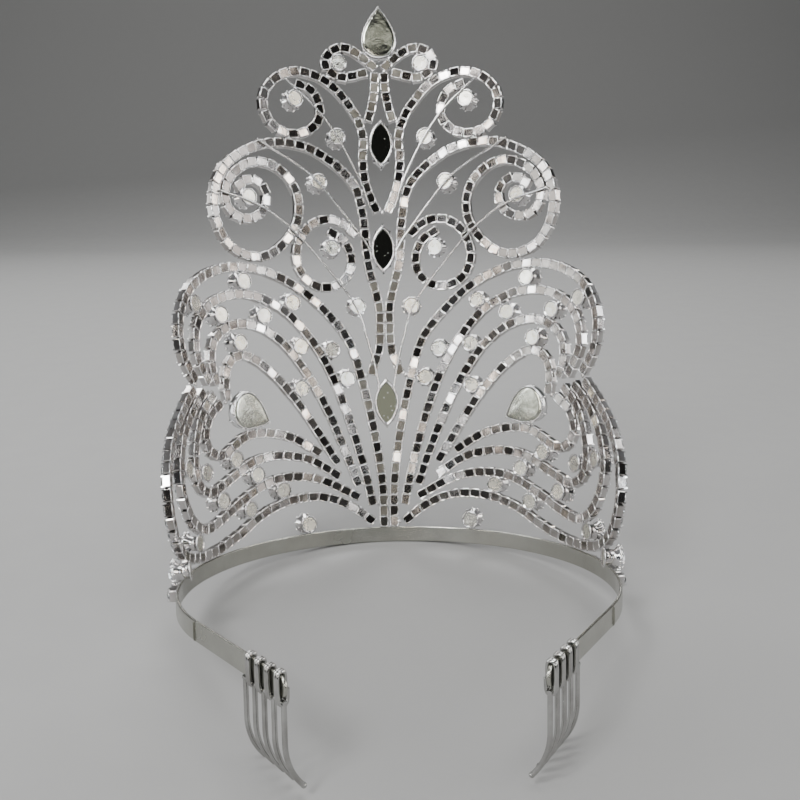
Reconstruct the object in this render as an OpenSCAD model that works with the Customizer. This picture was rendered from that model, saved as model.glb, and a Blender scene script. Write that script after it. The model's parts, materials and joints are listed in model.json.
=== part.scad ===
// Tall pageant crown of cup chain scrolls on a horseshoe band, with two wire side combs.
// Millimetres. The front of the crown faces -Y and the wearer's left is +X. The crown
// stands on the table by the front of its band and the tips of its combs, z = 0 there.

/* [Band] */
// Width inside the band where it is widest
band_w = 140; // [120:1:160]
// How far the round part of the band runs on behind the widest place, in degrees
band_wrap = 33; // [20:1:40]
// Length of each straight arm behind the round part
arm_len = 51.5; // [40:0.5:60]
// Height of the flat strip
strip_h = 6; // [4:0.5:9]
// Thickness of the flat strip
strip_t = 1; // [0.8:0.1:1.6]
// Where the chain on the band ends, in degrees from the front
band_chain_end = 94; // [80:1:110]

/* [Wall] */
// Outward lean of the wall of scrolls, in degrees
lean = 5.3; // [0:0.1:10]
// Width of the cup chain
chain_w = 3.7; // [3:0.1:4]
// Depth of the cup chain from its back to its stones
chain_t = 3.4; // [2.5:0.1:4]
// Bevel on the chain's long edges
chain_bevel = 0.8; // [0.3:0.1:1.2]
// Clearance between neighbouring pieces
gap = 0.15; // [0.1:0.05:0.3]
// Diameter of the support wires behind the wall
wire_d = 0.9; // [0.6:0.1:1.4]

/* [Round stones] */
// Diameter over the claw ring
round_d = 8.4; // [7:0.1:9]
// Diameter of the round cup between the chains
cup_d = 5.2; // [4:0.1:5.6]
// Height of the claw ring in front of the chains
ring_h = 1.8; // [1.4:0.1:2.5]
// Thickness of the sheet that the settings are made of
sheet_t = 0.5; // [0.3:0.1:0.8]
// Height of a stone's crown above its girdle
crown_h = 0.9; // [0.5:0.1:1.5]

/* [Pears] */
// Width of a pear setting
pear_w = 14; // [11:0.5:16]
// Length of the top pear setting
pear_l = 21; // [18:0.5:26]
// Length of a side pear setting
side_pear_l = 18; // [16:0.5:21]
// Depth of a pear or marquise setting
setting_t = 4.2; // [3:0.1:6]

/* [Marquises] */
// Width of a marquise setting
marq_w = 9.8; // [8:0.1:10]
// Length of a marquise setting
marq_l = 19.5; // [16:0.5:21]

/* [Combs] */
// Teeth on each comb
teeth = 5; // [4:1:6]
// Distance between two teeth
tooth_pitch = 5; // [4:0.1:7]
// Straight length of a tooth below the strip
tooth_straight = 10; // [8:1:20]
// Radius of the curve at the lower end of a tooth
tooth_curve_r = 17; // [10:1:30]
// How far a tooth curves inward, in degrees
tooth_bend = 44; // [10:1:60]
// Diameter of the comb wire
tooth_d = 1.4; // [1:0.1:2]
// Distance from the end of an arm to the last tooth
comb_inset = 1.5; // [1:0.5:8]
// Width of a wire wrap on the strip
wrap_w = 2; // [1:0.1:2.4]
// Thickness of a wire wrap
wrap_t = 0.8; // [0.5:0.1:1.2]

/* [Hidden] */
ring_step = 5.5;   // distance between two sections of a chain
wire_step = 8;     // and of a wire
round_facets = 8;
outline_facets = 16;
outline_sides = 32;
girdle_h = 0.3;
stone_gap = 0.12;
seat_h = 1;        // height of the flare below the claw ring
wrap_gap = 0.15;
lap = 0.5;         // how far an arm runs into the end of the round part
band_r = band_w / 2;
strip_out = band_r + strip_t;
wall_foot = band_r - (chain_t - strip_t) / 2;   // the wall stands on the strip's middle
arm_turn = 90 + band_wrap;
arm_x = band_r * sin(arm_turn);
arm_y = -band_r * cos(arm_turn);
ring_z = chain_t + gap;        // the flare of a round setting starts in front of the chains
wire_out = -wire_d / 2 - gap - 0.1;

// Comb: x runs along the arm, y inward and z up from the strip's lower inner edge.
spine_z = -gap - tooth_d / 2;
spine_y = -strip_t / 2;
first_tooth = arm_len - comb_inset - (teeth - 1) * tooth_pitch;
tip_y = spine_y + tooth_curve_r * (1 - cos(tooth_bend));
tip_z = spine_z - tooth_straight - tooth_curve_r * sin(tooth_bend);

// The crown stands on the strip's front lower edge and the foremost comb tips.
reach = strip_out + arm_y + first_tooth * sin(arm_turn) + tip_y * cos(arm_turn);
tilt = asin(tooth_d / 2 / norm([reach, tip_z])) - atan2(tip_z, reach);
stand_z = strip_out * sin(tilt);

// Marquises: heights of their middles, and how far from the middle a chain passes beside one.
high_marquise_z = 160.5;
mid_marquise_z = 118;
low_marquise_z = 56;
beside_marquise = (marq_w + chain_w) / 2 + gap;

// Routes on the wall. Columns: distance round the wall from its middle, height.
top_loop_route = [[1.8, 190.1], [3.6, 192.8], [6.2, 194.7], [9.8, 197.2], [14.5, 198.7],
    [19, 197.2], [22.1, 193], [20.3, 189.2], [17, 187.1], [13.5, 186.9], [9.5, 187.9],
    [4.9, 189.2]];
stem_route = [[2, 188.9], [2, 184], [2.8, 177.5], [5, 169.5]];
upper_scroll_route = [[2, 132.6], [5.2, 140], [7, 147], [7.5, 155], [7.2, 163], [10.4, 172.5],
    [18.5, 182.5], [26.5, 187], [35, 187.7], [43, 184], [47.7, 177.5], [47.4, 171],
    [43.5, 165.4], [37, 163.1], [30.5, 164.3], [25.6, 168.5], [24.6, 175], [28, 181], [34.5, 183.3]];
main_scroll_route = [[5.9, 67.3], [4.4, 72], [2.4, 78], [2, 84], [2, 93], [2.9, 98.5], [5.6, 109],
    [beside_marquise, mid_marquise_z], [7.5, 128], [10.9, 143], [20.5, 153], [32, 158.5],
    [45.5, 158.8], [58.5, 153.5], [67, 146.5], [71.2, 137], [70.8, 128], [66, 119.5], [58, 115],
    [48, 115], [39, 121.8], [34.3, 131], [35.3, 141], [41.5, 148.5], [50.5, 151], [59, 148],
    [65, 141.5], [65.8, 134], [60.5, 129.2], [53.5, 129.3], [48.3, 134], [48.2, 140],
    [52.5, 143.6], [57.5, 142.9], [60.6, 139.6]];
small_scroll_route = [[11, 123], [14, 126.7], [20, 129.5], [26.5, 128.8], [32, 124.7],
    [35, 118.5], [35.2, 112], [32, 106.2], [26.5, 103], [20, 103.2], [15, 106.6], [13, 112],
    [14, 118], [18, 123.3], [22.5, 124.8]];

// Arches, from the middle of the band up, over and down to the side.
arch_1_route = [[2, 6.3], [2.2, 20], [3.3, 32], [5.7, 47], [9.2, 63], [14.7, 81], [25, 94],
    [36, 103], [50, 109], [65, 110], [79, 106], [89, 98.5], [93.5, 88.5], [92, 78], [85.3, 69]];
arch_2_route = [[6.3, 15], [8.7, 26], [11.8, 38], [16.3, 53], [23, 70], [31, 83], [41, 93.3],
    [53, 99], [65, 99.7], [76, 96], [83, 88.5], [84, 78.5], [77.9, 67.6]];
arch_3_route = [[12, 23], [14, 29], [18.6, 41], [25, 56], [34.5, 72], [45, 83.3],
    [57, 88.5], [68, 87.5], [75, 81.5], [75.8, 74], [73.4, 66.8]];
arch_4_route = [[20.2, 32.4], [27, 43.5], [36, 57], [46, 68.5], [56, 75.7], [63, 76.8],
    [68, 73], [69.1, 66.5], [68.3, 60.5]];

// Base loops, from the side down, out and back to the middle of the band.
base_1_route = [[86.7, 66.5], [96, 58.7], [105, 50.5], [112, 40.5], [113.8, 30], [110, 20.5],
    [101, 12.3], [89, 8.8], [77, 8.5], [65, 11.2], [52, 17], [39, 20.1], [26, 19.6], [15, 15],
    [6, 8.1]];
base_2_route = [[80.8, 65.1], [88, 59.2], [95.5, 50.5], [99.8, 40], [98.5, 31], [92.5, 21.8],
    [84.5, 17.3], [75, 18.3], [63, 23.2], [50, 28.2], [38, 28.9], [26, 26], [11.7, 18.3]];
base_3_route = [[75.4, 63.8], [82, 58], [86.8, 49.5], [88.5, 39], [85.5, 31.8], [78.5, 29.2],
    [69, 31.9], [57, 36.8], [45, 37.8], [32, 35], [19.6, 27.3]];
base_4_route = [[71.8, 60.2], [78.5, 55.5], [81.2, 48.5], [77.5, 42.7], [71, 41.5], [60.5, 46.5],
    [51, 47], [39, 44], [27.2, 37]];

// Support wires behind the wall, from their outer ends in to the middle.
high_wire_route = [[39, 184.5], [26.5, 174], [17.3, 162], [9, 146], [5, 134.5]];
mid_wire_route = [[52, 159.5], [36, 151.5], [25.3, 143.5], [10, 124.5], [5, 117]];
low_wire_route = [[69.5, 138], [53, 134.5], [39, 126.5], [26, 113.5], [12, 95.5], [7.5, 82],
    [4.5, 71], [3, 62]];

// Round stones: distance round the wall from its middle, height, and how far they stand out.
upper_rounds = [[16.6, 192.6], [34.8, 177], [17.7, 162.9], [25.6, 144.5], [55.5, 137],
    [20.8, 118.5], [10.8, 95]];
arch_rounds = [[15.7, 66.2], [59, 104.9], [37.7, 96.8], [83.9, 96.2], [70.4, 92.3], [50.2, 91.8],
    [61.5, 81.8], [34.6, 79.6], [21.7, 77.8], [34.8, 63.2]];
base_rounds = [[65.5, 38.8], [55.3, 31.7], [73.3, 25], [43.8, 24.4], [59.2, 19.4], [33, 9.8],
    [90.3, 13.9], [82.3, 36.5], [94.2, 39.5], [114, 10.8, -3]];

// Side pears: distance round and height of their middles, and the turn of the pointed end from
// straight up, in degrees.
side_pear = [56.6, 55.1];
side_pear_turn = 118;

// The top pear sits on the beginnings of the top loops.
top_pear_mid = top_loop_route[1][1] + (chain_w + pear_l) / 2 + gap;

// Middle of the box round the crown, which is centred on the origin.
top_z = top_pear_mid + pear_l / 2;
front_y = -(wall_r(top_z) + setting_t) * cos(tilt) - top_z * sin(tilt);
back_y = (arm_y + (arm_len - comb_inset) * sin(arm_turn) + spine_y * cos(arm_turn)) * cos(tilt)
    + (tooth_straight - spine_z) * sin(tilt) + tooth_d / 2;
stand_y = -(front_y + back_y) / 2;

function wall_r(z) = wall_foot + z * tan(lean);
function wall_turn(p) = p[0] / wall_r(p[1]) * 180 / PI;
// A point on the wall: distance round it, height, and depth outward from its back.
function wall_at(p, out) = let (a = wall_turn(p), q = wall_r(p[1]) + out * cos(lean))
    [q * sin(a), -q * cos(a), p[1] - out * sin(lean)];
function wall_normal(p) = let (a = wall_turn(p))
    [sin(a) * cos(lean), -cos(a) * cos(lean), -sin(lean)];
function unit(v) = v / norm(v);
function curve(a, b, c, d, t) = 0.5 * (2 * b + (c - a) * t + (2 * a - 5 * b + 4 * c - d) * t * t
    + (3 * b - a - 3 * c + d) * t * t * t);
// A smooth line through a route's points, with about one point every step.
function smooth(route, step) = let (n = len(route) - 1)
    [for (i = [0 : n - 1])
        let (k = max(1, round(norm(route[i + 1] - route[i]) / step)),
            a = i > 0 ? route[i - 1] : 2 * route[0] - route[1],
            d = i < n - 1 ? route[i + 2] : 2 * route[n] - route[n - 1])
        for (j = [0 : k - 1]) curve(a, route[i], route[i + 1], d, j / k),
     route[n]];
// Outlines, pointed end up, at angle u from the point.
function pear_at(u, w, l) = [w / 1.54 * sin(u) * sin(u / 2), l / 2 * cos(u)];
function marquise_at(u, w, l) = let (r = (l * l + w * w) / 4 / w, y = l / 2 * cos(u))
    [(sqrt(r * r - y * y) - r + w / 2) * (u <= 180 ? 1 : -1), y];
function pear_outline(w, l, k) = [for (i = [k - 1 : -1 : 0]) pear_at(360 * i / k, w, l)];
function marquise_outline(w, l, k) = [for (i = [k - 1 : -1 : 0]) marquise_at(360 * i / k, w, l)];
function round_outline(d, k) = [for (i = [0 : k - 1]) d / 2 * [cos(360 * i / k), sin(360 * i / k)]];
function at_height(outline, z) = [for (p = outline) [p[0], p[1], z]];

// Stands the crown on the table.
module stand() {
    translate([0, stand_y, stand_z]) rotate([tilt, 0, 0]) children();
}

// Repeats a left piece on the right.
module on_side(side) {
    if (side > 0) children();
    else mirror([1, 0, 0]) children();
}

// Lays a piece on the wall: x round it, y up it and z outward from its back.
module on_wall(p, out = 0) {
    a = wall_turn(p);
    o = wall_at(p, out);
    multmatrix([[cos(a), sin(lean) * sin(a), cos(lean) * sin(a), o[0]],
        [sin(a), -sin(lean) * cos(a), -cos(lean) * cos(a), o[1]],
        [0, cos(lean), -sin(lean), o[2]],
        [0, 0, 0, 1]]) children();
}

// Sweeps a closed section of [across, outward] points along spots with their outward normals.
module sweep(spots, outs, section) {
    n = len(spots);
    m = len(section);
    points = [for (i = [0 : n - 1])
        let (t = unit(spots[min(i + 1, n - 1)] - spots[max(i - 1, 0)]),
            b = unit(cross(t, outs[i])),
            o = cross(b, t))
        for (s = section) spots[i] + s[0] * b + s[1] * o];
    sides = [for (i = [0 : n - 2]) for (j = [0 : m - 1]) for (h = [0, 1])
        let (a = i * m + j, b = i * m + (j + 1) % m)
        h == 0 ? [a, b, b + m] : [a, b + m, a + m]];
    ends = [for (j = [1 : m - 2]) for (h = [0, 1])
        let (e = (n - 1) * m) h == 0 ? [0, j + 1, j] : [e, e + j, e + j + 1]];
    polyhedron(points, concat(sides, ends), convexity = 10);
}

function chain_section() = let (w = chain_w / 2, c = chain_bevel)
    [[-w + c, 0], [w - c, 0], [w, c], [w, chain_t - c], [w - c, chain_t], [-w + c, chain_t],
     [-w, chain_t - c], [-w, c]];

// A length of cup chain on the wall.
module chain(route, side) {
    line = smooth(route, ring_step);
    color([0.84, 0.86, 0.9]) stand() on_side(side)
        sweep([for (p = line) wall_at(p, 0)], [for (p = line) wall_normal(p)], chain_section());
}

module wire(route, side) {
    line = smooth(route, wire_step);
    color([0.72, 0.72, 0.74]) stand() on_side(side)
        sweep([for (p = line) wall_at(p, wire_out)], [for (p = line) wall_normal(p)],
            [for (i = [0 : 5]) wire_d / 2 * [cos(60 * i), sin(60 * i)]]);
}

// Cut stones: each row holds one outline at four heights, table, girdle top, girdle bottom and
// a point below. All the stones of a group are one polyhedron of separate closed shells.
function stone_points(table, girdle, z, crown, depth) = concat(at_height(table, z + girdle_h + crown),
    at_height(girdle, z + girdle_h), at_height(girdle, z), [[0, 0, z - depth]]);
function stone_faces(k, s) = concat(
    [[for (i = [k - 1 : -1 : 0]) s + i]],
    [for (i = [0 : k - 1]) for (h = [0, 1]) let (j = (i + 1) % k)
        h == 0 ? [s + i, s + j, s + k + i] : [s + j, s + k + j, s + k + i]],
    [for (i = [0 : k - 1]) for (h = [0, 1]) let (j = (i + 1) % k)
        h == 0 ? [s + k + i, s + k + j, s + 2 * k + i] : [s + k + j, s + 2 * k + j, s + 2 * k + i]],
    [for (i = [0 : k - 1]) let (j = (i + 1) % k) [s + 2 * k + i, s + 2 * k + j, s + 3 * k]]);

function stands_out(p) = len(p) > 2 ? p[2] : 0;

round_stone_d = round_d - 2 * sheet_t - 2 * stone_gap;
round_stone_z = ring_z + seat_h + 0.35;

module round_setting() {
    c = cup_d / 2;
    r = round_d / 2;
    t = sheet_t;
    top = ring_z + ring_h;
    rotate_extrude($fn = 48) polygon([[0, gap], [c, gap], [c, ring_z], [r, ring_z + seat_h],
        [r, top], [r - t, top], [r - t, ring_z + seat_h + 0.2], [c - t, ring_z + 0.15],
        [c - t, gap + t], [0, gap + t]]);
}

module round_stone() {
    polyhedron(stone_points(round_outline(0.56 * round_stone_d, round_facets),
        round_outline(round_stone_d, round_facets), round_stone_z, crown_h, 2.2),
        stone_faces(round_facets, 0));
}

module round_settings(places, side) {
    color([0.8, 0.82, 0.86]) stand() on_side(side) for (p = places)
        on_wall(p, stands_out(p)) round_setting();
}

module round_stones(places, side) {
    color([0.75, 0.85, 0.95]) stand() on_side(side) for (p = places)
        on_wall(p, stands_out(p)) round_stone();
}

// A setting with a closed back, and its stone.
module pear_setting(length) {
    color([0.8, 0.8, 0.82]) translate([0, 0, gap]) difference() {
        linear_extrude(setting_t) polygon(pear_outline(pear_w, length, outline_sides));
        translate([0, 0, sheet_t]) linear_extrude(setting_t)
            polygon(pear_outline(pear_w - 2 * sheet_t, length - 3.4 * sheet_t, outline_sides));
    }
}

module pear_stone(length) {
    w = pear_w - 2 * sheet_t - 3 * stone_gap;
    l = length - 3.4 * sheet_t - 5 * stone_gap;
    color([0.75, 0.85, 0.95]) polyhedron(stone_points(
        pear_outline(0.6 * w, 0.6 * l, outline_facets), pear_outline(w, l, outline_facets),
        gap + setting_t - 2 * girdle_h, 1.6 * crown_h, setting_t - sheet_t - 3 * girdle_h),
        stone_faces(outline_facets, 0));
}

// A setting open at the back, with a lip that the stone rests on, and its stone.
module marquise_setting() {
    color([0.8, 0.8, 0.82]) translate([0, 0, gap]) difference() {
        linear_extrude(setting_t) polygon(marquise_outline(marq_w, marq_l, outline_sides));
        translate([0, 0, sheet_t]) linear_extrude(setting_t)
            polygon(marquise_outline(marq_w - 2 * sheet_t, marq_l - 4 * sheet_t, outline_sides));
        translate([0, 0, -1]) linear_extrude(setting_t)
            polygon(marquise_outline(marq_w - 4 * sheet_t, marq_l - 8 * sheet_t, outline_sides));
    }
}

module marquise_stone() {
    w = marq_w - 2 * sheet_t - 3 * stone_gap;
    l = marq_l - 4 * sheet_t - 7 * stone_gap;
    color([0.35, 0.37, 0.42]) polyhedron(stone_points(
        marquise_outline(0.6 * w, 0.6 * l, outline_facets),
        marquise_outline(w, l, outline_facets),
        gap + setting_t - 2 * girdle_h, 1.6 * crown_h, setting_t - sheet_t - 3 * girdle_h),
        stone_faces(outline_facets, 0));
}

module at_side_pear() {
    stand() on_wall(side_pear) rotate([0, 0, side_pear_turn]) children();
}

module at_marquise(z) {
    stand() on_wall([0, z]) children();
}

// The arm's own frame: x along it, y inward, z up.
module on_arm() {
    translate([arm_x, arm_y, 0]) rotate([0, 0, arm_turn]) children();
}

module band_arm() {
    on_arm() translate([0, -strip_t, 0]) {
        translate([-lap, 0, 0]) cube([lap + arm_len - strip_h / 2, strip_t, strip_h]);
        translate([arm_len - strip_h / 2, 0, strip_h / 2]) rotate([-90, 0, 0])
            cylinder(h = strip_t, d = strip_h, $fn = 48);
    }
}

module band() {
    color([0.78, 0.78, 0.8]) stand() union() {
        rotate([0, 0, -90 - arm_turn]) rotate_extrude(angle = 2 * arm_turn, $fn = 180)
            translate([band_r, 0]) square([strip_t, strip_h]);
        band_arm();
        mirror([1, 0, 0]) band_arm();
    }
}

module band_chain() {
    n = round(2 * band_chain_end * PI / 180 * strip_out / ring_step);
    turns = [for (i = [0 : n]) band_chain_end * (2 * i / n - 1)];
    q = (strip_out + gap) / cos(band_chain_end / n);
    color([0.84, 0.86, 0.9]) stand() sweep(
        [for (a = turns) [q * sin(a), -q * cos(a), strip_h / 2]],
        [for (a = turns) [sin(a), -cos(a), 0]], chain_section());
}

module tooth() {
    translate([0, spine_y, spine_z]) {
        translate([0, 0, -tooth_straight]) cylinder(h = tooth_straight, d = tooth_d, $fn = 24);
        translate([0, tooth_curve_r, -tooth_straight])
            multmatrix([[0, 0, 1, 0], [-1, 0, 0, 0], [0, -1, 0, 0], [0, 0, 0, 1]])
                rotate_extrude(angle = tooth_bend, $fn = 96)
                    translate([tooth_curve_r, 0]) circle(d = tooth_d, $fn = 24);
    }
    translate([0, tip_y, tip_z]) sphere(d = tooth_d, $fn = 24);
}

// A wire wrap round the strip, which holds the comb's spine under it.
module wrap() {
    x = wrap_w / 2;
    in = wrap_gap;
    out = wrap_gap + wrap_t;
    low = spine_z - tooth_d / 2;
    difference() {
        translate([-x, -strip_t - out, low]) cube([wrap_w, strip_t + 2 * out, strip_h + out - low]);
        translate([-x - 1, -strip_t - in, -in])
            cube([wrap_w + 2, strip_t + 2 * in, strip_h + 2 * in]);
    }
}

module comb(side) {
    color([0.74, 0.74, 0.76]) stand() on_side(side) on_arm() union() {
        translate([first_tooth - tooth_d / 2, spine_y, spine_z]) rotate([0, 90, 0])
            cylinder(h = (teeth - 1) * tooth_pitch + tooth_d, d = tooth_d, $fn = 24);
        for (i = [0 : teeth - 1]) translate([first_tooth + i * tooth_pitch, 0, 0]) tooth();
        for (i = [0 : teeth - 2])
            translate([first_tooth + (i + 0.5) * tooth_pitch, 0, 0]) wrap();
    }
}

module top_loop_left() chain(top_loop_route, 1);
module top_loop_right() chain(top_loop_route, -1);
module stem_left() chain(stem_route, 1);
module stem_right() chain(stem_route, -1);
module upper_scroll_left() chain(upper_scroll_route, 1);
module upper_scroll_right() chain(upper_scroll_route, -1);
module main_scroll_left() chain(main_scroll_route, 1);
module main_scroll_right() chain(main_scroll_route, -1);
module small_scroll_left() chain(small_scroll_route, 1);
module small_scroll_right() chain(small_scroll_route, -1);
module arch_1_left() chain(arch_1_route, 1);
module arch_1_right() chain(arch_1_route, -1);
module arch_2_left() chain(arch_2_route, 1);
module arch_2_right() chain(arch_2_route, -1);
module arch_3_left() chain(arch_3_route, 1);
module arch_3_right() chain(arch_3_route, -1);
module arch_4_left() chain(arch_4_route, 1);
module arch_4_right() chain(arch_4_route, -1);
module base_1_left() chain(base_1_route, 1);
module base_1_right() chain(base_1_route, -1);
module base_2_left() chain(base_2_route, 1);
module base_2_right() chain(base_2_route, -1);
module base_3_left() chain(base_3_route, 1);
module base_3_right() chain(base_3_route, -1);
module base_4_left() chain(base_4_route, 1);
module base_4_right() chain(base_4_route, -1);
module high_wire_left() wire(high_wire_route, 1);
module high_wire_right() wire(high_wire_route, -1);
module mid_wire_left() wire(mid_wire_route, 1);
module mid_wire_right() wire(mid_wire_route, -1);
module low_wire_left() wire(low_wire_route, 1);
module low_wire_right() wire(low_wire_route, -1);
module comb_left() comb(1);
module comb_right() comb(-1);
module upper_round_settings() union() {
    round_settings(upper_rounds, 1);
    round_settings(upper_rounds, -1);
}
module upper_round_stones() union() {
    round_stones(upper_rounds, 1);
    round_stones(upper_rounds, -1);
}
module arch_round_settings() union() {
    round_settings(arch_rounds, 1);
    round_settings(arch_rounds, -1);
}
module arch_round_stones() union() {
    round_stones(arch_rounds, 1);
    round_stones(arch_rounds, -1);
}
module base_round_settings() union() {
    round_settings(base_rounds, 1);
    round_settings(base_rounds, -1);
}
module base_round_stones() union() {
    round_stones(base_rounds, 1);
    round_stones(base_rounds, -1);
}
module top_pear_setting() stand() on_wall([0, top_pear_mid]) pear_setting(pear_l);
module left_pear_setting() at_side_pear() pear_setting(side_pear_l);
module right_pear_setting() mirror([1, 0, 0]) at_side_pear() pear_setting(side_pear_l);
module high_marquise_setting() at_marquise(high_marquise_z) marquise_setting();
module mid_marquise_setting() at_marquise(mid_marquise_z) marquise_setting();
module low_marquise_setting() at_marquise(low_marquise_z) marquise_setting();
module top_pear_stone() stand() on_wall([0, top_pear_mid]) pear_stone(pear_l);
module left_pear_stone() at_side_pear() pear_stone(side_pear_l);
module right_pear_stone() mirror([1, 0, 0]) at_side_pear() pear_stone(side_pear_l);
module high_marquise_stone() at_marquise(high_marquise_z) marquise_stone();
module mid_marquise_stone() at_marquise(mid_marquise_z) marquise_stone();
module low_marquise_stone() at_marquise(low_marquise_z) marquise_stone();

band();
band_chain();
top_loop_left();
top_loop_right();
stem_left();
stem_right();
upper_scroll_left();
upper_scroll_right();
main_scroll_left();
main_scroll_right();
small_scroll_left();
small_scroll_right();
arch_1_left();
arch_1_right();
arch_2_left();
arch_2_right();
arch_3_left();
arch_3_right();
arch_4_left();
arch_4_right();
base_1_left();
base_1_right();
base_2_left();
base_2_right();
base_3_left();
base_3_right();
base_4_left();
base_4_right();
high_wire_left();
high_wire_right();
mid_wire_left();
mid_wire_right();
low_wire_left();
low_wire_right();
comb_left();
comb_right();
upper_round_settings();
upper_round_stones();
arch_round_settings();
arch_round_stones();
base_round_settings();
base_round_stones();
top_pear_setting();
left_pear_setting();
right_pear_setting();
high_marquise_setting();
mid_marquise_setting();
low_marquise_setting();
top_pear_stone();
left_pear_stone();
right_pear_stone();
high_marquise_stone();
mid_marquise_stone();
low_marquise_stone();
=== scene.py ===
"""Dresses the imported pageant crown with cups, crystals, claws, wires and their finishes.

Lengths are in metres and angles in degrees. The wall of scrolls is drawn in the band's own frame, where
the band lies level with its middle at the origin and its front towards -Y, and then stood on the table.
"""

import json
import logging
import math
from collections.abc import Callable
from dataclasses import dataclass, field, fields
from enum import Enum
from itertools import combinations

import bmesh
import bpy
from mathutils import Matrix, Vector

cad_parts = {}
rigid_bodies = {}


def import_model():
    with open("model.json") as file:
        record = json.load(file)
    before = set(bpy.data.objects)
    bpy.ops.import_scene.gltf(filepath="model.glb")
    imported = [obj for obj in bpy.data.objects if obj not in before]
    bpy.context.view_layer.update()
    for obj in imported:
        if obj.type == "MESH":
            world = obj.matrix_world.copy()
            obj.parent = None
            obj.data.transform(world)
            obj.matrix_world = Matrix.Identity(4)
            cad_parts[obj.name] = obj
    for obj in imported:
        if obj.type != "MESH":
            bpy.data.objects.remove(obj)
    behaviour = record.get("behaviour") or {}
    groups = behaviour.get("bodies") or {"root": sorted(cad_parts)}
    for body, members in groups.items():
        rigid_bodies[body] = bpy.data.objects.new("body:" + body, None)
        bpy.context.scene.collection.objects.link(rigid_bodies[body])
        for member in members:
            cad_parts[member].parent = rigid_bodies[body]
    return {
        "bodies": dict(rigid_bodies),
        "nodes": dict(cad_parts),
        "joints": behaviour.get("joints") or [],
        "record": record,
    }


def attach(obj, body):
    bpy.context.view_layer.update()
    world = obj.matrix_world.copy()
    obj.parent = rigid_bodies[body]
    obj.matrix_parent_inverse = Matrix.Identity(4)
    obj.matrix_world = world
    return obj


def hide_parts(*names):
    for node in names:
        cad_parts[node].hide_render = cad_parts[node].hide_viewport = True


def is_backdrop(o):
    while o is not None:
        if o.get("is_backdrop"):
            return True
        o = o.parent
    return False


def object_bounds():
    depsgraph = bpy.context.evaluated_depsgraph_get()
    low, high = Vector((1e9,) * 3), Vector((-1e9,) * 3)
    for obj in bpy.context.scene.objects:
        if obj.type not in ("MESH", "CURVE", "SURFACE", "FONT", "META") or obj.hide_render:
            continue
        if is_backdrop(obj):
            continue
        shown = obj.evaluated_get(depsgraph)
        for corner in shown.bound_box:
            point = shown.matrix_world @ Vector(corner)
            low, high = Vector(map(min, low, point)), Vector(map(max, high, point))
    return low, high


LOG = logging.getLogger("pageant_crown")
TONE_SEED = 7  # what a group adds to its seed for the tone of its copies

Spot = tuple[float, float]
Rgb = tuple[float, float, float]
Ring = list[Vector]
Line = list[tuple[Vector, Vector]]
Drawer = Callable[..., Ring]
Profile = tuple[tuple[float, float, float], ...]
Piece = bpy.types.Object
Material = bpy.types.Material
NodeTree = bpy.types.NodeTree
Socket = bpy.types.NodeSocket


# Sizes of the crown, as in the part's source

@dataclass(frozen=True)
class Sizes:
    """The crown's driving sizes."""

    band_w: float = 0.140
    band_wrap: float = 33.0
    arm_len: float = 0.0515
    strip_h: float = 0.006
    strip_t: float = 0.001
    band_chain_end: float = 94.0
    lean: float = 5.3
    chain_w: float = 0.0037
    chain_t: float = 0.0034
    gap: float = 0.00015
    wire_d: float = 0.0009
    round_d: float = 0.0084
    cup_d: float = 0.0052
    ring_h: float = 0.0018
    sheet_t: float = 0.0005
    pear_w: float = 0.014
    pear_l: float = 0.021
    side_pear_l: float = 0.018
    setting_t: float = 0.0042
    marq_w: float = 0.0098
    marq_l: float = 0.0195
    teeth: int = 5
    tooth_pitch: float = 0.005
    tooth_straight: float = 0.010
    tooth_curve_r: float = 0.017
    tooth_bend: float = 44.0
    tooth_d: float = 0.0014
    comb_inset: float = 0.0015
    top_loop_z: float = 0.1928

    @property
    def band_r(self) -> float:
        """Radius inside the round part of the band."""
        return self.band_w / 2

    @property
    def strip_out(self) -> float:
        """Radius outside the band's strip."""
        return self.band_r + self.strip_t

    @property
    def arm_turn(self) -> float:
        """Angle from the front at which the round part ends, in radians."""
        return math.radians(90 + self.band_wrap)

    @property
    def arm_start(self) -> Vector:
        """Where the left arm leaves the round part, inside the strip."""
        return Vector((math.sin(self.arm_turn), -math.cos(self.arm_turn), 0)) * self.band_r

    @property
    def first_tooth(self) -> float:
        """Place of the comb's foremost tooth along the arm."""
        return self.arm_len - self.comb_inset - (self.teeth - 1) * self.tooth_pitch

    @property
    def spine(self) -> Vector:
        """Middle of the comb's spine wire in the arm's frame, at the start of the arm."""
        return Vector((0, -self.strip_t / 2, -self.gap - self.tooth_d / 2))

    @property
    def tip(self) -> Vector:
        """Middle of a tooth's tip in the arm's frame, at the start of the arm.

        Returns:
            The tip's place.
        """
        bend = math.radians(self.tooth_bend)
        drop = self.tooth_straight + self.tooth_curve_r * math.sin(bend)
        return self.spine + Vector((0, self.tooth_curve_r * (1 - math.cos(bend)), -drop))

    @property
    def top_pear_z(self) -> float:
        """Height of the top pear's middle on the wall."""
        return self.top_loop_z + (self.chain_w + self.pear_l) / 2 + self.gap


class Side(Enum):
    """The two halves of the crown, by the sign of their x."""

    LEFT = 1
    RIGHT = -1

    @property
    def word(self) -> str:
        """The side's name in node names."""
        return self.name.lower()


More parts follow.
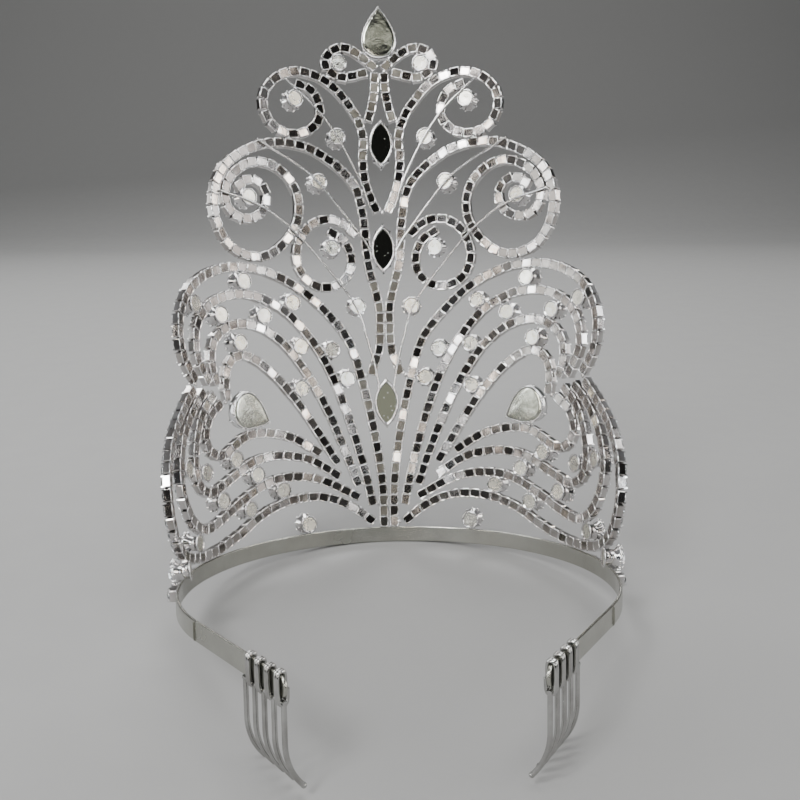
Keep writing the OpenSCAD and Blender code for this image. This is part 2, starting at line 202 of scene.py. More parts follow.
@dataclass(frozen=True)
class Stance:
    """How the band's frame stands on the table."""

    sizes: Sizes

    @property
    def tilt(self) -> float:
        """Forward tilt of the crown, in radians.

        Returns:
            The angle.
        """
        s = self.sizes
        back = s.first_tooth * math.sin(s.arm_turn) + s.tip.y * math.cos(s.arm_turn)
        reach = s.strip_out + s.arm_start.y + back
        rise = math.asin(s.tooth_d / 2 / math.hypot(reach, s.tip.z))
        return rise - math.atan2(s.tip.z, reach)

    @property
    def matrix(self) -> Matrix:
        """From the band's frame to the crown's.

        Returns:
            The matrix that stands a piece on the table.
        """
        s, tilt = self.sizes, self.tilt
        top_z = s.top_pear_z + s.pear_l / 2
        out = Wall(s).radius(top_z) + s.setting_t
        front = -out * math.cos(tilt) - top_z * math.sin(tilt)
        along = s.arm_len - s.comb_inset
        arm = s.arm_start.y + along * math.sin(s.arm_turn) + s.spine.y * math.cos(s.arm_turn)
        back = arm * math.cos(tilt) + (s.tooth_straight - s.spine.z) * math.sin(tilt) + s.tooth_d / 2
        shift = Vector((0, -(front + back) / 2, s.strip_out * math.sin(tilt)))
        return Matrix.Translation(shift) @ Matrix.Rotation(tilt, 4, "X")


@dataclass(frozen=True)
class Wall:
    """The leaning cone that the scrolls lie on, in the band's frame."""

    sizes: Sizes

    def radius(self, height: float) -> float:
        """Radius of the wall's back at a height."""
        s = self.sizes
        return s.band_r - (s.chain_t - s.strip_t) / 2 + height * math.tan(math.radians(s.lean))

    def frame(self, spot: Spot, out: float = 0.0, turn: float = 0.0) -> Matrix:
        """The frame of a piece on the wall: x round it, y up it and z outward.

        Args:
            spot: Distance round the wall from its middle, and height.
            out: Depth outward from the wall's back.
            turn: Turn of the piece about its outward axis, in degrees.

        Returns:
            A matrix from the piece's frame to the band's.
        """
        lean = math.radians(self.sizes.lean)
        a = spot[0] / self.radius(spot[1])
        q = self.radius(spot[1]) + out * math.cos(lean)
        across = Vector((math.cos(a), math.sin(a), 0))
        outward = Vector((math.sin(a) * math.cos(lean), -math.cos(a) * math.cos(lean), -math.sin(lean)))
        place = Vector((q * math.sin(a), -q * math.cos(a), spot[1] - out * math.sin(lean)))
        axes = Matrix((across, outward.cross(across), outward)).transposed().to_4x4()
        return Matrix.Translation(place) @ axes @ Matrix.Rotation(math.radians(turn), 4, "Z")


SIZES = Sizes()
WALL = Wall(SIZES)
STAND = Stance(SIZES).matrix


# Routes on the wall: distance round it from its middle, and height

ROUTES: dict[str, list[Spot]] = {
    "top_loop": [(0.0018, 0.1901), (0.0036, 0.1928), (0.0062, 0.1947), (0.0098, 0.1972),
                 (0.0145, 0.1987), (0.019, 0.1972), (0.0221, 0.193), (0.0203, 0.1892), (0.017, 0.1871),
                 (0.0135, 0.1869), (0.0095, 0.1879), (0.0049, 0.1892)],
    "stem": [(0.002, 0.1889), (0.002, 0.184), (0.0028, 0.1775), (0.005, 0.1695)],
    "upper_scroll": [(0.002, 0.1326), (0.0052, 0.14), (0.007, 0.147), (0.0075, 0.155), (0.0072, 0.163),
                     (0.0104, 0.1725), (0.0185, 0.1825), (0.0265, 0.187), (0.035, 0.1877), (0.043, 0.184),
                     (0.0477, 0.1775), (0.0474, 0.171), (0.0435, 0.1654), (0.037, 0.1631),
                     (0.0305, 0.1643), (0.0256, 0.1685), (0.0246, 0.175), (0.028, 0.181), (0.0345, 0.1833)],
    "main_scroll": [(0.0059, 0.0673), (0.0044, 0.072), (0.0024, 0.078), (0.002, 0.084), (0.002, 0.093),
                    (0.0029, 0.0985), (0.0056, 0.109), (0.0069, 0.118), (0.0075, 0.128), (0.0109, 0.143),
                    (0.0205, 0.153), (0.032, 0.1585), (0.0455, 0.1588), (0.0585, 0.1535), (0.067, 0.1465),
                    (0.0712, 0.137), (0.0708, 0.128), (0.066, 0.1195), (0.058, 0.115), (0.048, 0.115),
                    (0.039, 0.1218), (0.0343, 0.131), (0.0353, 0.141), (0.0415, 0.1485), (0.0505, 0.151),
                    (0.059, 0.148), (0.065, 0.1415), (0.0658, 0.134), (0.0605, 0.1292), (0.0535, 0.1293),
                    (0.0483, 0.134), (0.0482, 0.14), (0.0525, 0.1436), (0.0575, 0.1429),
                    (0.0606, 0.1396)],
    "small_scroll": [(0.011, 0.123), (0.014, 0.1267), (0.02, 0.1295), (0.0265, 0.1288), (0.032, 0.1247),
                     (0.035, 0.1185), (0.0352, 0.112), (0.032, 0.1062), (0.0265, 0.103), (0.02, 0.1032),
                     (0.015, 0.1066), (0.013, 0.112), (0.014, 0.118), (0.018, 0.1233), (0.0225, 0.1248)],
    "arch_1": [(0.002, 0.0063), (0.0022, 0.02), (0.0033, 0.032), (0.0057, 0.047), (0.0092, 0.063),
               (0.0147, 0.081), (0.025, 0.094), (0.036, 0.103), (0.05, 0.109), (0.065, 0.11),
               (0.079, 0.106), (0.089, 0.0985), (0.0935, 0.0885), (0.092, 0.078), (0.0853, 0.069)],
    "arch_2": [(0.0063, 0.015), (0.0087, 0.026), (0.0118, 0.038), (0.0163, 0.053), (0.023, 0.07),
               (0.031, 0.083), (0.041, 0.0933), (0.053, 0.099), (0.065, 0.0997), (0.076, 0.096),
               (0.083, 0.0885), (0.084, 0.0785), (0.0779, 0.0676)],
    "arch_3": [(0.012, 0.023), (0.014, 0.029), (0.0186, 0.041), (0.025, 0.056), (0.0345, 0.072),
               (0.045, 0.0833), (0.057, 0.0885), (0.068, 0.0875), (0.075, 0.0815), (0.0758, 0.074),
               (0.0734, 0.0668)],
    "arch_4": [(0.0202, 0.0324), (0.027, 0.0435), (0.036, 0.057), (0.046, 0.0685), (0.056, 0.0757),
               (0.063, 0.0768), (0.068, 0.073), (0.0691, 0.0665), (0.0683, 0.0605)],
    "base_1": [(0.0867, 0.0665), (0.096, 0.0587), (0.105, 0.0505), (0.112, 0.0405), (0.1138, 0.03),
               (0.11, 0.0205), (0.101, 0.0123), (0.089, 0.0088), (0.077, 0.0085), (0.065, 0.0112),
               (0.052, 0.017), (0.039, 0.0201), (0.026, 0.0196), (0.015, 0.015), (0.006, 0.0081)],
    "base_2": [(0.0808, 0.0651), (0.088, 0.0592), (0.0955, 0.0505), (0.0998, 0.04), (0.0985, 0.031),
               (0.0925, 0.0218), (0.0845, 0.0173), (0.075, 0.0183), (0.063, 0.0232), (0.05, 0.0282),
               (0.038, 0.0289), (0.026, 0.026), (0.0117, 0.0183)],
    "base_3": [(0.0754, 0.0638), (0.082, 0.058), (0.0868, 0.0495), (0.0885, 0.039), (0.0855, 0.0318),
               (0.0785, 0.0292), (0.069, 0.0319), (0.057, 0.0368), (0.045, 0.0378), (0.032, 0.035),
               (0.0196, 0.0273)],
    "base_4": [(0.0718, 0.0602), (0.0785, 0.0555), (0.0812, 0.0485), (0.0775, 0.0427), (0.071, 0.0415),
               (0.0605, 0.0465), (0.051, 0.047), (0.039, 0.044), (0.0272, 0.037)],
}

WIRE_ROUTES: dict[str, list[Spot]] = {
    "high_wire": [(0.039, 0.1845), (0.0265, 0.174), (0.0173, 0.162), (0.009, 0.146), (0.005, 0.1345)],
    "mid_wire": [(0.052, 0.1595), (0.036, 0.1515), (0.0253, 0.1435), (0.01, 0.1245), (0.005, 0.117)],
    "low_wire": [(0.0695, 0.138), (0.053, 0.1345), (0.039, 0.1265), (0.026, 0.1135), (0.012, 0.0955),
                 (0.0075, 0.082), (0.0045, 0.071), (0.003, 0.062)],
}

# Round stones: distance round the wall, height, and how far they stand out
ROUNDS: dict[str, list[tuple[float, ...]]] = {
    "upper": [(0.0166, 0.1926), (0.0348, 0.177), (0.0177, 0.1629), (0.0256, 0.1445), (0.0555, 0.137),
              (0.0208, 0.1185), (0.0108, 0.095)],
    "arch": [(0.0157, 0.0662), (0.059, 0.1049), (0.0377, 0.0968), (0.0839, 0.0962), (0.0704, 0.0923),
             (0.0502, 0.0918), (0.0615, 0.0818), (0.0346, 0.0796), (0.0217, 0.0778), (0.0348, 0.0632)],
    "base": [(0.0655, 0.0388), (0.0553, 0.0317), (0.0733, 0.025), (0.0438, 0.0244), (0.0592, 0.0194),
             (0.033, 0.0098), (0.0903, 0.0139), (0.0823, 0.0365), (0.0942, 0.0395),
             (0.114, 0.0108, -0.003)],
}
SIDE_PEAR: Spot = (0.0566, 0.0551)
SIDE_PEAR_TURN = 118.0
MARQUISES: dict[str, float] = {"high": 0.1605, "mid": 0.118, "low": 0.056}


def smooth(route: list[Spot], step: float) -> list[Spot]:
    """A smooth line through a route's points.

    Args:
        route: The points.
        step: About the distance between two points of the line.

    Returns:
        The line's points, the ends included.
    """
    knots = [Vector(p) for p in route]
    knots = [2 * knots[0] - knots[1], *knots, 2 * knots[-1] - knots[-2]]
    line = []
    for a, b, c, d in zip(knots, knots[1:], knots[2:], knots[3:]):
        count = max(1, round((c - b).length / step))
        for t in (j / count for j in range(count)):
            line.append(0.5 * (2 * b + (c - a) * t + (2 * a - 5 * b + 4 * c - d) * t * t
                               + (3 * b - a - 3 * c + d) * t ** 3))
    line.append(knots[-2])
    return [(p.x, p.y) for p in line]


def wall_line(route: list[Spot], side: Side, step: float, out: float = 0.0) -> tuple[list[Spot], Line]:
    """A route on one side of the wall.

    Args:
        route: The route's points on the left side.
        side: The side that it is drawn on.
        step: About the distance between two points of the line.
        out: Depth outward from the wall's back.

    Returns:
        The line's spots on the wall, and its points and outward directions on the crown.
    """
    spots = [(side.value * a, z) for a, z in smooth(route, step)]
    frames = [STAND @ WALL.frame(p, out) for p in spots]
    return spots, [(f.to_translation(), f.col[2].to_3d()) for f in frames]


# Node trees

class Nodes:
    """Adds nodes to a node tree."""

    def __init__(self, group: NodeTree) -> None:
        """Works on that tree."""
        self.group = group

    def add(self, kind: str, inputs: dict | None = None, **settings: object) -> bpy.types.Node:
        """Adds a node.

        Args:
            kind: The node's type.
            inputs: Values or sockets for its inputs, by name or number.
            settings: The node's own properties.

        Returns:
            The new node.
        """
        node = self.group.nodes.new(kind)
        for name, value in settings.items():
            setattr(node, name, value)
        for name, value in (inputs or {}).items():
            if isinstance(value, Socket):
                self.group.links.new(value, node.inputs[name])
            else:
                node.inputs[name].default_value = value
        return node

    def flow(self, kind: str, inputs: dict | None = None, output: int | str = 0,
             **settings: object) -> Socket:
        """Adds a node and returns one of its outputs, the first unless another is named."""
        return self.add(kind, inputs, **settings).outputs[output]

    def maths(self, operation: str, *values: object) -> Socket:
        """The result of a Math node on sockets or numbers."""
        return self.flow("ShaderNodeMath", dict(enumerate(values)), operation=operation)

    def scaled(self, vector: Socket, by: object) -> Socket:
        """A vector times a number."""
        return self.flow("ShaderNodeVectorMath", {0: vector, "Scale": by}, operation="SCALE")

    def place(self) -> Socket:
        """The place on the piece, in its own coordinates."""
        return self.flow("ShaderNodeTexCoord", output="Object")

    def noise(self, place: Socket, scale: object, detail: float = 2.0, roughness: float = 0.5,
              distortion: float = 0.0, output: str = "Fac") -> Socket:
        """Noise at a place."""
        return self.flow("ShaderNodeTexNoise", {"Vector": place, "Scale": scale, "Detail": detail,
                                                "Roughness": roughness, "Distortion": distortion}, output)

    def span(self, value: Socket, start: float = 0.0, end: float = 1.0, low: object = 0.0,
             high: object = 1.0) -> Socket:
        """A value's range from start to end, drawn out from low to high."""
        return self.flow("ShaderNodeMapRange", {"Value": value, "From Min": start, "From Max": end,
                                                "To Min": low, "To Max": high})


class Tree(Nodes):
    """A node group under construction."""

    def __init__(self, name: str, kind: str) -> None:
        """Starts an empty group.

        Args:
            name: The group's name.
            kind: The kind of tree.
        """
        super().__init__(bpy.data.node_groups.new(name, kind))
        self.enter = self.group.nodes.new("NodeGroupInput")
        self.leave = self.group.nodes.new("NodeGroupOutput")

    def take(self, kind: str, *names: str) -> None:
        """Adds named inputs of one kind."""
        for name in names:
            self.group.interface.new_socket(name, in_out="INPUT", socket_type="NodeSocket" + kind)

    def give(self, kind: str, name: str, value: Socket) -> None:
        """Adds a named output fed by a socket."""
        self.group.interface.new_socket(name, in_out="OUTPUT", socket_type="NodeSocket" + kind)
        self.group.links.new(value, self.leave.inputs[name])

    def given(self, name: str) -> Socket:
        """The socket that brings in a named input."""
        return self.enter.outputs[name]

    def read(self, name: str, kind: str) -> Socket:
        """An attribute of the geometry."""
        return self.flow("GeometryNodeInputNamedAttribute", {"Name": name}, "Attribute", data_type=kind)

    def mark(self, name: str) -> Socket:
        """An attribute of the piece, as a number for its finish."""
        return self.flow("ShaderNodeAttribute", output="Fac", attribute_name=name)

    def mix(self, share: Socket, first: str, second: str) -> Socket:
        """A share of the way from one of the group's colours to another."""
        # By number, because the node has sockets of the same names for each kind of data
        return self.flow("ShaderNodeMix", {0: share, 6: self.given(first), 7: self.given(second)}, 2,
                         data_type="RGBA")

    def merged(self, *shapes: Socket) -> Socket:
        """Joins geometry in the order given.

        Args:
            shapes: The geometry to join.

        Returns:
            The socket of the whole.
        """
        whole = self.add("GeometryNodeJoinGeometry")
        for shape in shapes:
            self.group.links.new(shape, whole.inputs[0])
        return whole.outputs[0]

    def smoothed(self, shape: Socket) -> Socket:
        """Geometry shaded smooth."""
        return self.flow("GeometryNodeSetShadeSmooth", {"Geometry": shape, "Shade Smooth": True})

    def copies(self, points: Socket, part: str, turn: Socket, tone: Socket) -> Socket:
        """Puts a part on points and makes the copies real.

        Args:
            points: The points.
            part: Name of the input that brings in the part as an object.
            turn: The rotation of each copy.
            tone: A number kept on each copy as the attribute tone.

        Returns:
            The socket of the real geometry.
        """
        shape = self.flow("GeometryNodeObjectInfo", {"Object": self.given(part)}, "Geometry")
        placed = self.flow("GeometryNodeInstanceOnPoints",
                           {"Points": points, "Instance": shape, "Rotation": turn}, "Instances")
        kept = self.flow("GeometryNodeStoreNamedAttribute",
                         {"Geometry": placed, "Name": "tone", "Value": tone}, "Geometry",
                         data_type="FLOAT", domain="INSTANCE")
        return self.flow("GeometryNodeRealizeInstances", {"Geometry": kept})

    def finished(self, shape: Socket, finish: str, where: str | None = None) -> Socket:
        """Sets a material.

        Args:
            shape: The geometry.
            finish: Name of the input that brings in the material.
            where: The attribute that marks the faces to set it on, or none for all faces.

        Returns:
            The socket of the geometry with its material.
        """
        inputs = {"Geometry": shape, "Material": self.given(finish)}
        if where:
            inputs["Selection"] = self.read(where, "BOOLEAN")
        return self.flow("GeometryNodeSetMaterial", inputs)

    def loose_turn(self, along: Socket) -> Socket:
        """Rotation of a hand-set part, a little off at random.

        Args:
            along: The direction of the part's x axis.

        Returns:
            The socket of the rotation, with z outward.
        """
        true = self.flow("FunctionNodeAxesToRotation",
                         {"Primary Axis": self.read("outward", "FLOAT_VECTOR"), "Secondary Axis": along},
                         primary_axis="Z", secondary_axis="X")
        most = self.flow("ShaderNodeCombineXYZ", {i: self.given("Looseness") for i in range(3)})
        error = self.flow("FunctionNodeRandomValue",
                          {0: self.scaled(most, -1.0), 1: most, "Seed": self.given("Seed")},
                          data_type="FLOAT_VECTOR")
        euler = self.flow("FunctionNodeEulerToRotation", {"Euler": error})
        return self.flow("FunctionNodeRotateRotation", {"Rotation": true, "Rotate By": euler},
                         rotation_space="LOCAL")

    def random_tone(self) -> Socket:
        """A number from 0 to 1 for each copy."""
        seed = self.maths("ADD", self.given("Seed"), TONE_SEED)
        return self.flow("FunctionNodeRandomValue", {2: 0.0, 3: 1.0, "Seed": seed}, 1, data_type="FLOAT")


def chain_tree() -> NodeTree:
    """Sets cups, links and stones along a route at an even pitch.

    Returns:
        The Geometry Nodes group.
    """
    tree = Tree("cup_chain", "GeometryNodeTree")
    tree.take("Geometry", "Route")
    tree.take("Object", "Cup", "Link", "Stone")
    tree.take("Material", "Metal", "Crystal", "Foil")
    tree.take("Float", "Pitch", "Looseness")
    tree.take("Int", "Seed")
    line = tree.flow("GeometryNodeMeshToCurve", {"Mesh": tree.given("Route")})
    length = tree.flow("GeometryNodeCurveLength", {"Curve": line})
    count = tree.maths("ROUND", tree.maths("DIVIDE", length, tree.given("Pitch")))
    pitch = tree.maths("DIVIDE", length, count)

    def places(inset: Socket, number: Socket) -> Socket:
        """Even points on the line.

        Args:
            inset: Distance of the first and last from its ends.
            number: How many points.

        Returns:
            The socket of the points.
        """
        trim = tree.add("GeometryNodeTrimCurve", {"Curve": line}, mode="LENGTH")
        for name, value in (("Start", inset), ("End", tree.maths("SUBTRACT", length, inset))):
            tree.group.links.new(value, [s for s in trim.inputs if s.name == name][-1])
        return tree.flow("GeometryNodeResampleCurve", {"Curve": trim.outputs[0], "Count": number},
                         mode="COUNT")

    turn, tone = tree.loose_turn(tree.flow("GeometryNodeInputTangent")), tree.random_tone()
    middles = places(tree.maths("MULTIPLY", pitch, 0.5), count)
    between = places(pitch, tree.maths("SUBTRACT", count, 1))
    metal = tree.merged(tree.copies(middles, "Cup", turn, tone), tree.copies(between, "Link", turn, tone))
    crystal = tree.finished(tree.copies(middles, "Stone", turn, tone), "Crystal")
    whole = tree.merged(tree.finished(metal, "Metal"), tree.finished(crystal, "Foil", "foil"))
    tree.give("Geometry", "Chain", whole)
    return tree.group


def spots_tree() -> NodeTree:
    """Sets a metal part and a stone on loose points.

    Returns:
        The Geometry Nodes group.
    """
    tree = Tree("set_on_spots", "GeometryNodeTree")
    tree.take("Geometry", "Spots")
    tree.take("Object", "Part", "Stone")
    tree.take("Material", "Metal", "Back", "Crystal", "Foil")
    tree.take("Float", "Looseness")
    tree.take("Int", "Seed")
    turn, tone = tree.loose_turn(tree.read("along", "FLOAT_VECTOR")), tree.random_tone()
    metal = tree.finished(tree.copies(tree.given("Spots"), "Part", turn, tone), "Metal")
    crystal = tree.finished(tree.copies(tree.given("Spots"), "Stone", turn, tone), "Crystal")
    whole = tree.merged(tree.finished(metal, "Back", "foil"), tree.finished(crystal, "Foil", "foil"))
    tree.give("Geometry", "Parts", whole)
    return tree.group


def wire_tree() -> NodeTree:
    """Draws round wire along the edges of a mesh.

    Returns:
        The Geometry Nodes group.
    """
    tree = Tree("round_wire", "GeometryNodeTree")
    tree.take("Geometry", "Route")
    tree.take("Material", "Metal")
    tree.take("Float", "Radius")
    tree.take("Int", "Sides")
    line = tree.flow("GeometryNodeMeshToCurve", {"Mesh": tree.given("Route")})
    rim = tree.flow("GeometryNodeCurvePrimitiveCircle",
                    {"Resolution": tree.given("Sides"), "Radius": tree.given("Radius")})
    tube = tree.flow("GeometryNodeCurveToMesh", {"Curve": line, "Profile Curve": rim, "Fill Caps": True})
    real = tree.flow("GeometryNodeRealizeInstances", {"Geometry": tube})
    tree.give("Geometry", "Wire", tree.finished(tree.smoothed(real), "Metal"))
    return tree.group


def solder_tree() -> NodeTree:
    """Puts a small uneven lump of solder on each spot.

    Returns:
        The Geometry Nodes group.
    """
    tree = Tree("solder_lumps", "GeometryNodeTree")
    tree.take("Geometry", "Spots")
    tree.take("Object", "Lump")
    tree.take("Material", "Metal")
    tree.take("Float", "Unevenness", "Looseness")
    tree.take("Int", "Seed")
    turn, tone = tree.loose_turn(tree.read("along", "FLOAT_VECTOR")), tree.random_tone()
    lumps = tree.copies(tree.given("Spots"), "Lump", turn, tone)
    noise = tree.noise(tree.flow("GeometryNodeInputPosition"), scale=700.0, detail=1.0, output="Color")
    middle = tree.flow("ShaderNodeVectorMath", {0: noise, 1: (0.5, 0.5, 0.5)}, operation="SUBTRACT")
    push = tree.scaled(middle, tree.given("Unevenness"))
    bumpy = tree.flow("GeometryNodeSetPosition", {"Geometry": lumps, "Offset": push})
    tree.give("Geometry", "Lumps", tree.finished(tree.smoothed(bumpy), "Metal"))
    return tree.group


# Meshes

def rounded_square(half: tuple[float, float], corner: float, z: float) -> Ring:
    """A rectangle with cut corners.

    Args:
        half: Half its sizes in x and y.
        corner: How much each corner is cut.
        z: Its height.

    Returns:
        Eight points round it.
    """
    x, y = half
    spots = [(x, y - corner), (x - corner, y), (corner - x, y), (-x, y - corner),
             (-x, corner - y), (corner - x, -y), (x - corner, -y), (x, corner - y)]
    return [Vector((*p, z)) for p in spots]


def circle(radius: float, z: float, count: int, start: float = 0.0) -> Ring:
    """Points round a circle. Start is a share of one step."""
    angles = [2 * math.pi * (i + start) / count for i in range(count)]
    return [Vector((radius * math.cos(a), radius * math.sin(a), z)) for a in angles]


def pear(width: float, length: float, z: float, count: int, start: float = 0.0) -> Ring:
    """A pear outline with its point towards +y.

    Args:
        width: Its whole width.
        length: Its whole length.
        z: Its height.
        count: How many points.
        start: Where the first point lies, as a share of one step.

    Returns:
        The points round it.
    """
    fullest = 1.54
    angles = [2 * math.pi * (i + start) / count for i in reversed(range(count))]
    return [Vector((width / fullest * math.sin(u) * math.sin(u / 2), length / 2 * math.cos(u), z))
            for u in angles]


def marquise(width: float, length: float, z: float, count: int, start: float = 0.0) -> Ring:
    """A marquise outline with its points towards +y and -y.

    Args:
        width: Its whole width.
        length: Its whole length.
        z: Its height.
        count: How many points.
        start: Where the first point lies, as a share of one step.

    Returns:
        The points round it.
    """
    bow = (length * length + width * width) / 4 / width
    ring = []
    for i in reversed(range(count)):
        u = 2 * math.pi * (i + start) / count
        y = length / 2 * math.cos(u)
        x = math.sqrt(bow * bow - y * y) - bow + width / 2
        ring.append(Vector((x if math.sin(u) >= 0 else -x, y, z)))
    return ring


@dataclass(frozen=True)
class Outline:
    """An outline drawn by one of the ring functions, at a full size."""

    width: float
    length: float
    draw: Drawer | None = None

    @property
    def steps_back(self) -> bool:
        """Whether the ring function numbers its points against its shift of a part step."""
        return self.draw is not None

    def ring(self, share: float, z: float, count: int, start: float = 0.0) -> Ring:
        """The outline at a share of its full size.

        Args:
            share: The share.
            z: The ring's height.
            count: How many points.
            start: Where the first point lies, as a share of one step.

        Returns:
            The points.
        """
        if self.draw is None:
            return circle(share * self.width / 2, z, count, start)
        return self.draw(share * self.width, share * self.length, z, count, start)


@dataclass(frozen=True)
class Cut:
    """Facets and heights of a cut stone."""

    facets: int
    girdle_z: float
    girdle_h: float
    crown_h: float
    depth: float
    table: float = 0.55
    base: float = 0.08
    star_out: float = 0.03
    star_up: float = 0.5
    # Painted shade on the foil at the stone's point, as a recess mark
    base_mark: float = 0.2


class Shape:
    """A mesh under construction, with a recess mark on its points, which sets how much painted shade the
    metal gets there, and a foil mark on its faces.
    """

    def __init__(self) -> None:
        """Starts an empty mesh."""
        self.work = bmesh.new()
        self.recess = self.work.verts.layers.float.new("recess")
        self.foil = self.work.faces.layers.bool.new("foil")

    def ring(self, points: Ring, recess: float = 0.0) -> list[bmesh.types.BMVert]:
        """Adds a ring of points.

        Args:
            points: The points.
            recess: Their recess mark, the share of painted shade on them.

        Returns:
            The new points of the mesh.
        """
        verts = [self.work.verts.new(p) for p in points]
        for vert in verts:
            vert[self.recess] = recess
        return verts

    def face(self, verts: list[bmesh.types.BMVert], foil: bool = False, smooth: bool = False) -> None:
        """Adds a face.

        Args:
            verts: Its corners in order.
            foil: Whether it is foil.
            smooth: Whether it is shaded smooth.
        """
        made = self.work.faces.new(verts)
        made[self.foil] = foil
        made.smooth = smooth

    def loft(self, rings: list[tuple[Ring, float]], closed: bool = False, smooth: bool = False,
             soft: int = 0, foils: int = 0) -> None:
        """Joins rings in order with faces.

        Args:
            rings: Each ring's points and its recess mark, the share of painted shade.
            closed: Whether the last ring joins the first, in place of a face over each end.
            smooth: Whether all the walls are shaded smooth.
            soft: How many of the first walls are shaded smooth in any case.
            foils: How many of the first walls are marked as foil, with the face over the first ring.
        """
        made = [self.ring(points, recess) for points, recess in rings]
        count = len(made[0])
        for number, (low, high) in enumerate(zip(made, made[1:] + (made[:1] if closed else []))):
            for i in range(count):
                j = (i + 1) % count
                self.face([low[i], low[j], high[j], high[i]], number < foils, smooth or number < soft)
        if not closed:
            self.face(made[-1])
            self.face(list(reversed(made[0])), foils > 0)

    def claw(self, foot: Vector, way: Vector, steps: Profile, square: bool = False) -> None:
        """Adds a claw that stands on the setting and bends over the stone.

        Args:
            foot: The claw's place, at height 0.
            way: The direction that it bends in.
            steps: How far that way, how high and how thick it is, from its foot to its tip.
            square: Whether it is cut from flat metal, and not round.
        """
        sides, start = (4, 0.5) if square else (6, 0.0)
        self.loft([([foot + way * lean + v for v in circle(size, z, sides, start)], 0.0)
                   for lean, z, size in steps], smooth=not square)

    def brilliant(self, outline: Outline, cut: Cut) -> None:
        """Adds a brilliant cut stone.

        Args:
            outline: The stone's outline at the girdle.
            cut: Its facets and heights.
        """
        n, z = cut.facets, cut.girdle_z
        deck = z + cut.girdle_h
        star_share = (1 + cut.table) / 2 + cut.star_out
        table = self.ring(outline.ring(cut.table, deck + cut.crown_h, n))
        stars = self.ring(outline.ring(star_share, deck + cut.star_up * cut.crown_h, n, 0.5))
        high = self.ring(outline.ring(1.0, deck, 2 * n))
        low = self.ring(outline.ring(1.0, z, 2 * n))
        # The point of the stone carries painted shade on its foil
        base = self.ring(outline.ring(cut.base, z - cut.depth, n), cut.base_mark)
        self.face(table)
        for i in range(n):
            j = (i + 1) % n
            star, near = (stars[j], stars[i]) if outline.steps_back else (stars[i], stars[i - 1])
            corner, middle, after = 2 * i, 2 * i + 1, (2 * i + 2) % (2 * n)
            self.face([table[i], star, table[j]])
            self.face([table[i], near, high[corner], star])
            self.face([star, high[corner], high[middle]])
            self.face([star, high[middle], high[after]])
            self.face([low[corner], low[middle], base[i]], foil=True)
            self.face([low[middle], base[j], base[i]], foil=True)
            self.face([low[middle], low[after], base[j]], foil=True)
        for i in range(2 * n):
            j = (i + 1) % (2 * n)
            self.face([low[i], low[j], high[j], high[i]])
        self.face(list(reversed(base)), foil=True)

    def done(self, name: str) -> Piece:
        """Turns the mesh into an object in the scene.

        Args:
            name: The object's name.

        Returns:
            The object.
        """
        bmesh.ops.recalc_face_normals(self.work, faces=self.work.faces)
        mesh = bpy.data.meshes.new(name)
        self.work.to_mesh(mesh)
        self.work.free()
        return shown(name, mesh)


def shown(name: str, data: bpy.types.ID) -> Piece:
    """Puts a new object in the scene.

    Args:
        name: The object's name.
        data: The mesh, lamp or camera.

    Returns:
        The object.
    """
    made = bpy.data.objects.new(name, data)
    bpy.context.scene.collection.objects.link(made)
    return made


def route_mesh(name: str, lines: list[Line]) -> Piece:
    """A mesh of bare lines.

    Args:
        name: The object's name.
        lines: For each line, its points and their outward directions.

    Returns:
        The object, with the directions in its attribute outward.
    """
    points, edges, outs = [], [], []
    for line in lines:
        first = len(points)
        points += [p for p, _ in line]
        outs += [o for _, o in line]
        edges += [(first + i, first + i + 1) for i in range(len(line) - 1)]
    return marked_mesh(name, points, edges, {"outward": outs})


def spots_mesh(name: str, frames: list[Matrix]) -> Piece:
    """A mesh of bare points, with the x and z axes of their frames as attributes."""
    axes = {key: [f.col[axis].to_3d() for f in frames] for key, axis in (("along", 0), ("outward", 2))}
    return marked_mesh(name, [f.to_translation() for f in frames], [], axes)


def marked_mesh(name: str, points: Ring, edges: list[tuple[int, int]], marks: dict[str, Ring]) -> Piece:
    """A mesh of points and edges with directions on its points.

    Args:
        name: The object's name.
        points: The points.
        edges: Pairs of point numbers.
        marks: Each attribute's directions, one for each point.

    Returns:
        The object.
    """
    mesh = bpy.data.meshes.new(name)
    mesh.from_pydata(points, edges, [])
    for key, directions in marks.items():
        kept = mesh.attributes.new(key, "FLOAT_VECTOR", "POINT")
        kept.data.foreach_set("vector", [x for d in directions for x in d])
    return shown(name, mesh)


def grow(piece: Piece, tree: NodeTree, inputs: dict[str, object]) -> None:
    """Runs a Geometry Nodes group on a piece and keeps the result as its mesh.

    Args:
        piece: The piece.
        tree: The group.
        inputs: Values for the group's inputs, by name.
    """
    modifier = piece.modifiers.new(tree.name, "NODES")
    modifier.node_group = tree
    for item in tree.interface.items_tree:
        if item.item_type == "SOCKET" and item.in_out == "INPUT" and item.name in inputs:
            modifier[item.identifier] = inputs[item.name]
    graph = bpy.context.evaluated_depsgraph_get()
    mesh = bpy.data.meshes.new_from_object(piece.evaluated_get(graph))
    piece.modifiers.remove(modifier)
    raw = piece.data
    piece.data = mesh
    bpy.data.meshes.remove(raw)


def join(name: str, pieces: list[Piece]) -> Piece:
    """Fuses pieces into the first of them, which takes the name.

    Args:
        name: The new name.
        pieces: The pieces.

    Returns:
        The first piece.
    """
    with bpy.context.temp_override(active_object=pieces[0], selected_editable_objects=pieces):
        bpy.ops.object.join()
    pieces[0].name = name
    return pieces[0]


# Finishes

